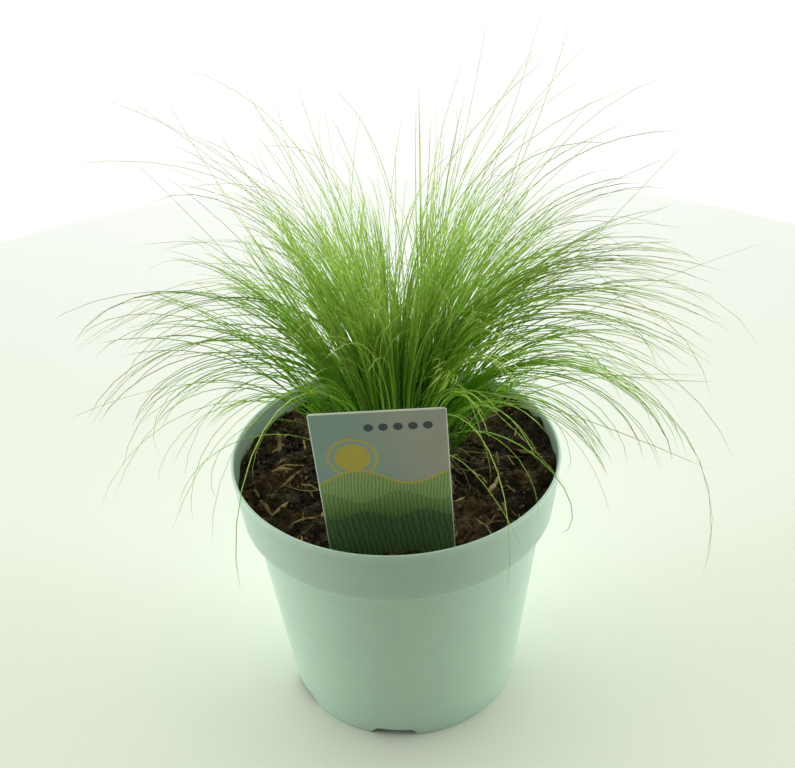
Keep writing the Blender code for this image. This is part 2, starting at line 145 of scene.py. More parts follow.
@dataclass
class Surface:
    """A mesh under construction: points, faces of four and three corners, and numbers at the points."""

    points: Array
    quads: Array = field(default_factory=lambda: np.zeros((0, 4), int))
    triangles: Array = field(default_factory=lambda: np.zeros((0, 3), int))
    values: dict[str, Array] = field(default_factory=dict)

    @staticmethod
    def join(parts: Sequence["Surface"]) -> "Surface":
        """Put surfaces one after another into one.

        Args:
            parts: Surfaces that carry the same named numbers.

        Returns:
            One surface with all their points and faces.
        """
        starts = np.cumsum([0] + [len(p.points) for p in parts[:-1]])
        return Surface(
            np.concatenate([p.points for p in parts]),
            np.concatenate([p.quads + s for p, s in zip(parts, starts)]),
            np.concatenate([p.triangles + s for p, s in zip(parts, starts)]),
            {k: np.concatenate([p.values[k] for p in parts]) for k in parts[0].values},
        )

    def mesh(self, name: str, smooth: bool = True, weld: float = 0.0) -> bpy.types.Mesh:
        """Write the arrays into a Blender mesh.

        Args:
            name: The mesh's name.
            smooth: Whether the faces are shaded smooth.
            weld: Points closer than this are merged, and the faces then turned outwards; 0 leaves them.

        Returns:
            The mesh, with a number attribute for each carried value.
        """
        mesh = bpy.data.meshes.new(name)
        mesh.vertices.add(len(self.points))
        mesh.vertices.foreach_set("co", self.points.astype(np.float32).ravel())
        corners = np.concatenate([self.quads.ravel(), self.triangles.ravel()]).astype(np.int32)
        sizes = np.concatenate([np.full(len(self.quads), 4), np.full(len(self.triangles), 3)])
        mesh.loops.add(len(corners))
        mesh.loops.foreach_set("vertex_index", corners)
        mesh.polygons.add(len(sizes))
        mesh.polygons.foreach_set("loop_start", (np.cumsum(sizes) - sizes).astype(np.int32))
        mesh.update(calc_edges=True)
        for key, numbers in self.values.items():
            attribute = mesh.attributes.new(key, "FLOAT", "POINT")
            attribute.data.foreach_set("value", np.asarray(numbers, np.float32).ravel())
        if weld > 0.0:
            bm = bmesh.new()
            bm.from_mesh(mesh)
            bmesh.ops.remove_doubles(bm, verts=bm.verts, dist=weld)
            bmesh.ops.recalc_face_normals(bm, faces=bm.faces)
            bm.to_mesh(mesh)
            bm.free()
        mesh.polygons.foreach_set("use_smooth", np.full(len(mesh.polygons), smooth))
        mesh.validate()
        return mesh


def grid_faces(rows: int, columns: int, closed: bool, flip: bool = False) -> Array:
    """Faces of a grid whose point (row, column) has the index row * columns + column.

    Args:
        rows: Count of rows.
        columns: Points in a row.
        closed: Whether a row's last point joins its first.
        flip: Whether the faces look the other way.

    Returns:
        Four point indices for each face.
    """
    across = np.arange(columns if closed else columns - 1)
    down = np.arange(rows - 1)[:, None] * columns
    after = (across + 1) % columns
    corners = [down + across, down + after, down + columns + after, down + columns + across]
    faces = np.stack([np.broadcast_to(c, (rows - 1, len(across))) for c in corners], axis=-1).reshape(-1, 4)
    return faces[:, ::-1] if flip else faces


def shut_rows(rows: Array, first: float, last: float) -> Surface:
    """Shut closed rows round the Z axis by a fan of triangles to a pole at each end.

    Args:
        rows: Places, shaped row, step, xyz, from the upper pole outwards and down to the lower one.
        first: Height of the upper pole.
        last: Height of the lower pole.

    Returns:
        The surface, its faces outwards and the two poles its last points.
    """
    count, steps = rows.shape[:2]
    points = np.concatenate([rows.reshape(-1, 3), [[0.0, 0.0, first], [0.0, 0.0, last]]])
    near = np.arange(steps)
    after = (near + 1) % steps
    foot = (count - 1) * steps
    fans = np.concatenate([
        np.stack([near, after, np.full(steps, len(points) - 2)], axis=-1),
        np.stack([foot + after, foot + near, np.full(steps, len(points) - 1)], axis=-1),
    ])
    return Surface(points, grid_faces(count, steps, True, True), fans)


def tubes(paths: Array, radii: Array, sides: int, values: dict[str, Array]) -> Surface:
    """Closed tubes along many paths of the same count: a regular polygon carried along, then a point.

    The first section is shut by a fan of triangles and the last point of each path is the tube's sharp tip.
    The section's first corner is laid level, or square to +X where the tube starts steeply.

    Args:
        paths: Places, shaped tube, step, xyz.
        radii: Radius at each tube and step; the last step's isn't used.
        sides: Corners of the section.
        values: Numbers to carry, shaped tube, step, or tube only.

    Returns:
        All the tubes as one surface.
    """
    count, steps = paths.shape[:2]
    along = unit(np.gradient(paths, axis=1))
    steep = np.abs(along[:, :1, 2:3]) > STEEP
    helper = np.where(steep, np.array([1.0, 0.0, 0.0]), np.array([0.0, 0.0, 1.0]))
    across = unit(np.cross(helper, along))
    other = np.cross(along, across)
    angles = TURN * np.arange(sides) / sides
    ring = across[:, :, None] * np.cos(angles)[:, None] + other[:, :, None] * np.sin(angles)[:, None]
    body = paths[:, :-1, None] + ring[:, :-1] * radii[:, :-1, None, None]
    size = (steps - 1) * sides + 1
    points = np.concatenate([body.reshape(count, -1, 3), paths[:, -1:]], axis=1).reshape(-1, 3)
    starts = np.arange(count)[:, None, None] * size
    quads = (grid_faces(steps - 1, sides, True)[None] + starts).reshape(-1, 4)
    corner = np.arange(sides)
    last = (steps - 2) * sides
    cap = np.stack([last + corner, last + (corner + 1) % sides, np.full(sides, size - 1)], axis=-1)
    foot = np.stack([np.zeros(sides - 2, int), corner[2:], corner[1:-1]], axis=-1)
    triangles = (np.concatenate([cap, foot])[None] + starts).reshape(-1, 3)
    carried = {}
    for key, numbers in values.items():
        full = np.broadcast_to(numbers if numbers.ndim == 2 else numbers[:, None], (count, steps))
        rings = np.repeat(full[:, :-1], sides, axis=1)
        carried[key] = np.concatenate([rings, full[:, -1:]], axis=1).ravel()
    return Surface(points, quads, triangles, carried)


def rounded_outline(corners: Sequence[Point], steps: int) -> Array:
    """Round the corners of an open outline with arcs that touch both sides.

    Args:
        corners: Each corner's two coordinates and the radius of its arc, 0 for a sharp one.
        steps: Stretches in an arc.

    Returns:
        The outline's points, two coordinates each.
    """
    places = np.array([c[:2] for c in corners])
    outline = [places[:1]]
    for i in range(1, len(corners) - 1):
        before = unit(places[i - 1] - places[i])
        after = unit(places[i + 1] - places[i])
        half = 0.5 * math.acos(float(np.clip(before @ after, -1.0, 1.0)))
        if corners[i][2] <= 0.0 or half > 1.56:
            outline.append(places[i:i + 1])
            continue
        reach = corners[i][2] / math.tan(half)
        centre = places[i] + unit(before + after) * corners[i][2] / math.sin(half)
        start = places[i] + before * reach - centre
        end = places[i] + after * reach - centre
        share = np.linspace(0.0, 1.0, steps + 1)[:, None]
        sweep = math.pi - 2.0 * half
        arc = (np.sin((1.0 - share) * sweep) * start + np.sin(share * sweep) * end) / math.sin(sweep)
        outline.append(centre + arc)
    outline.append(places[-1:])
    return np.concatenate(outline)


def fine_outline(outline: Array, longest: float) -> Array:
    """Split an outline's long stretches evenly.

    Args:
        outline: Its points.
        longest: No stretch stays longer than this.

    Returns:
        The points, old and new.
    """
    pieces = []
    for a, b in zip(outline[:-1], outline[1:]):
        count = max(1, math.ceil(float(np.linalg.norm(b - a)) / longest))
        pieces.append(a + (b - a) * (np.arange(count) / count)[:, None])
    return np.concatenate(pieces + [outline[-1:]])


class Slot(Enum):
    """The record's material slots."""

    POT = "pot_plastic"
    SOIL = "soil"
    LABEL = "label_card"
    BASE = "grass_base"
    GRASS = "grass"


def add_piece(name: str, mesh: bpy.types.Mesh, material: Material, slot: Slot,
              *nodes: str) -> bpy.types.Object:
    """Put a finished mesh into the scene as a piece of the object.

    Args:
        name: The piece's name.
        mesh: Its mesh, already in place.
        material: Its material.
        slot: The record's slot that its finish belongs to; it is not used.
        nodes: Model nodes that it stands for.

    Returns:
        The new object.
    """
    obj = bpy.data.objects.new(name, mesh)
    bpy.context.scene.collection.objects.link(obj)
    mesh.materials.clear()
    mesh.materials.append(material)
    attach(obj, BODY)
    if nodes:
        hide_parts(*nodes)
    LOG.info("%s: %d faces", name, len(mesh.polygons))
    return obj


class Graph:
    """Adds nodes to a material's or group's tree and links them."""

    # Numbers of the colour Mix node's sockets: its share, its two colours and its result.
    MIX_INPUTS = (0, 6, 7)
    MIX_RESULT = 2

    def __init__(self, tree: bpy.types.NodeTree) -> None:
        """Keep the tree that the nodes go into."""
        self.tree = tree

    def add(self, kind: str, inputs: dict[str | int, object] | None = None,
            **settings: object) -> bpy.types.Node:
        """Add a node.

        Args:
            kind: The node's type name without the ShaderNode at its start.
            inputs: A value or a socket to link for each named or numbered input.
            settings: Properties of the node.

        Returns:
            The node.
        """
        node = self.tree.nodes.new("ShaderNode" + kind)
        for key, value in settings.items():
            setattr(node, key, value)
        self.feed(node, inputs or {})
        return node

    def feed(self, node: bpy.types.Node, inputs: dict[str | int, object]) -> None:
        """Set a node's inputs.

        Args:
            node: The node.
            inputs: A value or a socket to link for each named or numbered input.
        """
        for key, value in inputs.items():
            if isinstance(value, bpy.types.NodeSocket):
                self.tree.links.new(value, node.inputs[key])
            else:
                node.inputs[key].default_value = value

    def math(self, operation: str, a: Socket | float, b: Socket | float = 0.0) -> Socket:
        """One Math node on two values."""
        return self.add("Math", {0: a, 1: b}, operation=operation).outputs[0]

    def value(self, name: str) -> Socket:
        """The number that the piece's points carry under a name."""
        return self.add("Attribute", attribute_name=name).outputs["Fac"]

    def place(self) -> Socket:
        """Object coordinates."""
        return self.add("TexCoord").outputs["Object"]

    def noise(self, vector: Socket, scale: float, detail: float = 3.0) -> Socket:
        """Noise from 0 to 1."""
        inputs = {"Vector": vector, "Scale": scale, "Detail": detail, "Roughness": 0.55}
        return self.add("TexNoise", inputs).outputs["Fac"]

    def between(self, value: Socket, low: float, high: float, to_low: float = 0.0,
                to_high: float = 1.0) -> Socket:
        """Map a value from low..high to to_low..to_high along a smooth step."""
        inputs = {"Value": value, "From Min": low, "From Max": high, "To Min": to_low, "To Max": to_high}
        return self.add("MapRange", inputs, interpolation_type="SMOOTHSTEP").outputs["Result"]

    def blend(self, share: Socket | float, a: Socket | Colour, b: Socket | Colour,
              how: str = "MIX") -> Socket:
        """Blend two colours.

        Args:
            share: Share of the second.
            a: The first colour.
            b: The second colour.
            how: The blend's type.

        Returns:
            The blend.
        """
        values = [(*v, 1.0) if isinstance(v, tuple) else v for v in (share, a, b)]
        node = self.add("Mix", dict(zip(self.MIX_INPUTS, values)), data_type="RGBA", blend_type=how)
        return node.outputs[self.MIX_RESULT]

    def ramp(self, value: Socket, stops: Sequence[tuple[float, Colour]]) -> Socket:
        """Colour by a value.

        Args:
            value: The value, from 0 to 1.
            stops: Places on the way and their colours.

        Returns:
            The colour.
        """
        node = self.add("ValToRGB", {"Fac": value})
        elements = node.color_ramp.elements
        while len(elements) < len(stops):
            elements.new(1.0)
        for element, (place, colour) in zip(elements, stops):
            element.position = place
            element.color = (*colour, 1.0)
        return node.outputs["Color"]

    def bump(self, height: Socket, distance: float, strength: float = 1.0) -> Socket:
        """Normal from a height."""
        inputs = {"Height": height, "Distance": distance, "Strength": strength}
        return self.add("Bump", inputs).outputs["Normal"]


def principled(name: str) -> tuple[Material, Graph, bpy.types.Node]:
    """Start a material that has only its Principled shader.

    Args:
        name: The material's name.

    Returns:
        The material, its graph and its shader node.
    """
    material = bpy.data.materials.new(name)
    material.use_nodes = True
    return material, Graph(material.node_tree), material.node_tree.nodes["Principled BSDF"]


def tone_group() -> bpy.types.NodeTree:
    """Build the shared effect of uneven tone, once.

    Two noises, one coarse and one eight times finer, are added. Mask is where the coarse one is high, Tone is
    their sum round 1, and Height is the fine one.

    Returns:
        The node group.
    """
    name = "uneven_tone"
    if name in bpy.data.node_groups:
        return bpy.data.node_groups[name]
    group = bpy.data.node_groups.new(name, "ShaderNodeTree")
    for label, kind, start in (("Vector", "NodeSocketVector", None), ("Scale", "NodeSocketFloat", 100.0),
                               ("Amount", "NodeSocketFloat", 0.1)):
        socket = group.interface.new_socket(label, in_out="INPUT", socket_type=kind)
        if start is not None:
            socket.default_value = start
    for label in ("Tone", "Mask", "Height"):
        group.interface.new_socket(label, in_out="OUTPUT", socket_type="NodeSocketFloat")
    graph = Graph(group)
    source = group.nodes.new("NodeGroupInput")
    result = group.nodes.new("NodeGroupOutput")
    coarse = graph.add("TexNoise", {"Vector": source.outputs["Vector"], "Scale": source.outputs["Scale"],
                                    "Detail": 3.0}).outputs["Fac"]
    finer = graph.math("MULTIPLY", source.outputs["Scale"], 8.0)
    fine = graph.add("TexNoise", {"Vector": source.outputs["Vector"], "Scale": finer,
                                  "Detail": 2.0}).outputs["Fac"]
    both = graph.math("SUBTRACT", graph.math("ADD", coarse, graph.math("MULTIPLY", fine, 0.6)), 0.8)
    tone = graph.math("ADD", graph.math("MULTIPLY", both, source.outputs["Amount"]), 1.0)
    graph.feed(result, {"Tone": tone, "Mask": graph.between(coarse, 0.5, 0.72), "Height": fine})
    return group


def uneven(graph: Graph, scale: float, amount: float) -> bpy.types.Node:
    """Place the shared uneven tone in a material, on Object coordinates.

    Args:
        graph: The material's graph.
        scale: Coarse patches in a metre.
        amount: How far the tone strays from 1.

    Returns:
        The group node, with the outputs Tone, Mask and Height.
    """
    inputs = {"Vector": graph.place(), "Scale": scale, "Amount": amount}
    return graph.add("Group", inputs, node_tree=tone_group())


def toned(graph: Graph, colour: Socket | Colour, tone: Socket) -> Socket:
    """Multiply a colour by a tone."""
    grey = graph.add("CombineColor", {0: tone, 1: tone, 2: tone}).outputs[0]
    return graph.blend(1.0, colour, grey, "MULTIPLY")


@dataclass(frozen=True)
class MouldedPlastic:
    """Satin moulded plastic: a fine grain, uneven tone, a few faint scuffs and smears, and painted shade on
    the inner wall.

    The points carry their shares of painted shade on the inner wall and on the underside, and of the band
    (painted shade) and its foot edge (painted highlight).
    """

    colour: Colour = (0.515, 0.705, 0.580)
    # Painted shade: the band is coloured darker than the wall below it.
    band: Colour = (0.440, 0.610, 0.498)
    # Painted highlight: the rounded edge at the band's foot is coloured lighter.
    edge: Colour = (0.640, 0.840, 0.710)
    damp: Colour = (0.330, 0.440, 0.350)
    # Painted shade on the inner wall, under the grass.
    scuff: Colour = (0.30, 0.44, 0.36)
    # Colour of the dirt smears near the foot and of the painted shade on the underside.
    dirt_and_shade: Colour = (0.10, 0.08, 0.05)
    roughness: float = 0.42
    scuff_share: float = 0.35
    smear_share: float = 0.3
    smear_height: float = 9.0 * MM
    grain_scale: float = 1900.0
    grain_height: float = 0.03 * MM

    def material(self) -> Material:
        """Make the pot's material.

        Scuffs are where an upright noise is high inside the shared mask, and smears are where a noise is
        high close to the foot. The grain is a fine noise as a bump.

        Returns:
            The material.
        """
        material, graph, shader = principled("mint_plastic")
        tone = uneven(graph, 14.0, 0.10)
        scuffs = uneven(graph, 90.0, 0.3)
        place = graph.place()
        streak = graph.add("Mapping", {"Vector": place, "Scale": (1.0, 1.0, 0.25)}).outputs["Vector"]
        marks = graph.between(graph.noise(streak, 160.0, 4.0), 0.69, 0.74)
        marks = graph.math("MULTIPLY", marks, graph.between(scuffs.outputs["Mask"], 0.55, 0.95))
        # Painted shade on the band, and a painted highlight on the rounded edge at its foot.
        colour = graph.blend(graph.value("band"), self.colour, self.band)
        colour = graph.blend(graph.value("edge"), colour, self.edge)
        colour = graph.blend(graph.math("MULTIPLY", marks, self.scuff_share), colour, self.scuff)
        height = graph.add("SeparateXYZ", {0: place}).outputs["Z"]
        low = graph.between(height, self.smear_height, 0.5 * MM)
        smear = graph.math("MULTIPLY", low, graph.between(graph.noise(place, 70.0, 5.0), 0.55, 0.75))
        colour = graph.blend(graph.math("MULTIPLY", smear, self.smear_share), colour, self.dirt_and_shade)
        # Painted shade on the inner wall.
        colour = graph.blend(graph.value("damp"), colour, self.damp)
        # Painted shade on the underside behind the foot, which darkens the inside of the notches.
        colour = graph.blend(graph.value("soiled"), colour, self.dirt_and_shade)
        colour = toned(graph, colour, tone.outputs["Tone"])
        rough = graph.math("ADD", graph.math("MULTIPLY", scuffs.outputs["Mask"], 0.10), self.roughness)
        grain = graph.bump(graph.noise(place, self.grain_scale, 2.0), self.grain_height, 0.6)
        graph.feed(shader, {"Base Color": colour, "Roughness": rough, "Normal": grain})
        return material


@dataclass(frozen=True)
class Earth:
    """Damp peat and bark: dark crumbs, warmer and paler ones by the numbers that each point carries."""

    dark: Colour = (0.006, 0.005, 0.002)
    middle: Colour = (0.066, 0.048, 0.021)
    warm: Colour = (0.155, 0.082, 0.030)
    pale: Colour = (0.52, 0.38, 0.17)
    patches: float = 620.0
    unevenness: float = 0.9
    relief: float = 0.25 * MM
    roughness: float = 0.88
    specular: float = 0.2

    def material(self) -> Material:
        """Make the soil's material.

        Returns:
            The material, which its crumbs, chips and fibres share.
        """
        material, graph, shader = principled("potting_soil")
        tone = uneven(graph, self.patches, self.unevenness)
        # Low tones are darkest: on the plug's top they are painted shade in the hollows, on the loose pieces
        # their own colour.
        base = graph.ramp(graph.value("tone"), [(0.0, self.dark), (0.5, self.middle), (1.0, self.pale)])
        colour = graph.blend(graph.value("warm"), base, self.warm)
        graph.feed(shader, {
            "Base Color": toned(graph, colour, tone.outputs["Tone"]),
            "Roughness": self.roughness,
            "Specular IOR Level": self.specular,
            "Normal": graph.bump(tone.outputs["Height"], self.relief),
        })
        return material


@dataclass(frozen=True)
class Blade:
    """Grass blades: dark at the foot as painted shade deep in the tuft, bright green in the middle, olive to
    straw at the tip.
    """

    name: str = "grass_blade"
    stops: tuple[tuple[float, Colour], ...] = (
        # The darkest stops at the foot are painted shade deep in the dense tuft.
        (0.00, (0.020, 0.055, 0.006)),
        (0.10, (0.050, 0.150, 0.010)),
        (0.30, (0.165, 0.400, 0.018)),
        (0.55, (0.285, 0.470, 0.045)),
        (0.80, (0.275, 0.350, 0.060)),
        (1.00, (0.230, 0.255, 0.080)),
    )
    straw: Colour = (0.30, 0.27, 0.11)
    roughness: float = 0.60
    specular: float = 0.15
    translucence: float = 0.5

    def material(self) -> Material:
        """Make the blades' material.

        Returns:
            The material, coloured along each blade by the numbers that its points carry.
        """
        material, graph, shader = principled(self.name)
        colour = graph.ramp(graph.value("along"), self.stops)
        colour = graph.blend(graph.value("dry"), colour, self.straw)
        fine = uneven(graph, 60.0, 0.35)
        tone = graph.math("MULTIPLY", fine.outputs["Tone"], graph.value("tone"))
        graph.feed(shader, {
            "Base Color": toned(graph, colour, tone),
            "Roughness": self.roughness,
            "Specular IOR Level": self.specular,
            "Subsurface Weight": self.translucence,
            "Subsurface Radius": (0.5, 1.0, 0.25),
            "Subsurface Scale": 0.6 * MM,
        })
        return material


@dataclass(frozen=True)
class Hill:
    """One printed hill: its green, and the numbers of its outline and its stripes, in millimetres.

    The outline is the level plus the rise times the sine of rate times the way across plus phase. The stripes
    turn by bend across and by slant down, roughened by a noise of the scale ruffle.
    """

    green: Colour
    level: float
    rise: float
    rate: float
    phase: float
    ruffle: float
    bend: float
    slant: float


@dataclass(frozen=True)
class PrintedCard:
    """A coated card with a plain generic print: a sun with a ring, a row of dots, and mown green hills.

    The print is laid out in millimetres from the card's top left corner.
    """

    warm_grey: Colour = (0.430, 0.435, 0.355)
    teal: Colour = (0.275, 0.420, 0.365)
    deep_teal: Colour = (0.100, 0.185, 0.160)
    ochre: Colour = (0.580, 0.480, 0.040)
    slate: Colour = (0.022, 0.045, 0.060)
    edge: Colour = (0.85, 0.90, 0.82)
    roughness: float = 0.36
    hills: tuple[Hill, ...] = (
        Hill((0.280, 0.420, 0.110), 39.0, 4.4, 0.13, 2.4, 9.0, 4.1, 0.35),
        Hill((0.200, 0.340, 0.090), 50.5, 3.4, 0.18, 4.5, 13.0, 3.3, 0.05),
        Hill((0.140, 0.260, 0.095), 62.0, 2.4, 0.23, 6.6, 17.0, 2.5, -0.25),
    )
    ruffle_depth: float = 9.0
    stripe_tones: Pair = (0.75, 1.25)
    sky_fade: Pair = (42.0, 8.0)
    dusk: Pair = (40.0, 78.0)
    sun: Pair = (17.0, 26.0)
    sun_radius: float = 8.0
    ring_radii: Pair = (10.0, 11.4)
    ring_share: float = 0.85
    crest: float = 1.2
    soft: float = 0.1
    dot_span: Pair = (22.3, 54.3)
    dot_row: float = 9.0
    dot_pitch: float = 6.4
    dot_radius: float = 2.1

    def material(self, width: float, height: float) -> Material:
        """Make the card's material from its UV map, whose unit is the card's width and height.

        The sky fades from left to right and darkens downwards. The stripes of a hill are a sine across lines
        that bend with the hill and are roughened by noise, and the first hill has a bright crest.

        Args:
            width: Width of the card.
            height: Height of the card.

        Returns:
            The material. Edge and back stay plain, by the number print that the points carry.
        """
        material, graph, shader = principled("printed_card")
        uv = graph.add("UVMap", uv_map="card").outputs["UV"]
        split = graph.add("SeparateXYZ", {0: uv})
        across = graph.math("MULTIPLY", split.outputs["X"], width / MM)
        down = graph.math("MULTIPLY", graph.math("SUBTRACT", 1.0, split.outputs["Y"]), height / MM)
        slanted = graph.math("SUBTRACT", across, graph.math("MULTIPLY", down, 0.3))
        sky = graph.blend(graph.between(slanted, *self.sky_fade), self.warm_grey, self.teal)
        sky = graph.blend(graph.between(down, *self.dusk), sky, self.deep_teal)
        colour = graph.blend(self.disc(graph, across, down, self.sun_radius), sky, self.ochre)
        inner, outer = (self.disc(graph, across, down, radius) for radius in self.ring_radii)
        ring = graph.math("MULTIPLY", graph.math("SUBTRACT", outer, inner), self.ring_share)
        colour = graph.blend(ring, colour, self.ochre)
        colour = graph.blend(self.dots(graph, across, down), colour, self.slate)
        for hill in self.hills:
            depth = graph.math("SUBTRACT", down, self.hill_line(graph, across, hill))
            if hill is self.hills[0]:
                crest = graph.between(depth, -self.crest - self.soft, -self.crest + self.soft)
                colour = graph.blend(crest, colour, self.ochre)
            striped = self.stripes(graph, uv, across, depth, hill)
            colour = graph.blend(graph.between(depth, -self.soft, self.soft), colour, striped)
        colour = graph.blend(graph.between(graph.value("print"), 0.7, 0.95), self.edge, colour)
        grain = graph.bump(graph.noise(graph.place(), 900.0, 2.0), 0.02 * MM, 0.5)
        graph.feed(shader, {"Base Color": colour, "Roughness": self.roughness, "Normal": grain})
        return material

    def stripes(self, graph: Graph, uv: Socket, across: Socket, depth: Socket, hill: Hill) -> Socket:
        """Colour of a hill's mown stripes.

        Args:
            graph: The material's graph.
            uv: The card's map.
            across: The way across the card.
            depth: The way down from the hill's outline.
            hill: The hill.

        Returns:
            The hill's green, toned by a sine.
        """
        ruffle = graph.math("MULTIPLY", graph.noise(uv, hill.ruffle), self.ruffle_depth)
        bend = graph.math("ADD", graph.math("MULTIPLY", across, hill.bend), ruffle)
        stripe = graph.math("SINE", graph.math("ADD", bend, graph.math("MULTIPLY", depth, hill.slant)))
        return toned(graph, hill.green, graph.between(stripe, -1.0, 1.0, *self.stripe_tones))

    def disc(self, graph: Graph, across: Socket, down: Socket, radius: float) -> Socket:
        """1 inside a disc about the sun's middle and 0 outside."""
        aside, below = (graph.math("SUBTRACT", a, b) for a, b in zip((across, down), self.sun))
        return self.round_spot(graph, aside, below, radius)

    def dots(self, graph: Graph, across: Socket, down: Socket) -> Socket:
        """Draw a row of dots near the top.

        Args:
            graph: The material's graph.
            across: The way across the card.
            down: The way down the card.

        Returns:
            1 inside the dots and 0 outside.
        """
        start, end = self.dot_span
        begun = graph.between(across, start, start + self.soft)
        inside = graph.math("MULTIPLY", begun, graph.between(across, end, end - self.soft))
        past = graph.math("SUBTRACT", across, start)
        step = graph.math("FRACT", graph.math("DIVIDE", past, self.dot_pitch))
        x = graph.math("MULTIPLY", graph.math("SUBTRACT", step, 0.5), self.dot_pitch)
        spot = self.round_spot(graph, x, graph.math("SUBTRACT", down, self.dot_row), self.dot_radius)
        return graph.math("MULTIPLY", inside, spot)

    def round_spot(self, graph: Graph, x: Socket, y: Socket, radius: float) -> Socket:
        """1 where the point x, y is nearer to the origin than a radius, its edge soft by 0.1 mm each way."""
        square = graph.math("ADD", graph.math("MULTIPLY", x, x), graph.math("MULTIPLY", y, y))
        return graph.between(graph.math("SQRT", square), radius + self.soft, radius - self.soft)

    @staticmethod
    def hill_line(graph: Graph, across: Socket, hill: Hill) -> Socket:
        """A hill's outline: its level plus its rise times the sine of the way across."""
        angle = graph.math("ADD", graph.math("MULTIPLY", across, hill.rate), hill.phase)
        return graph.math("ADD", graph.math("MULTIPLY", graph.math("SINE", angle), hill.rise), hill.level)


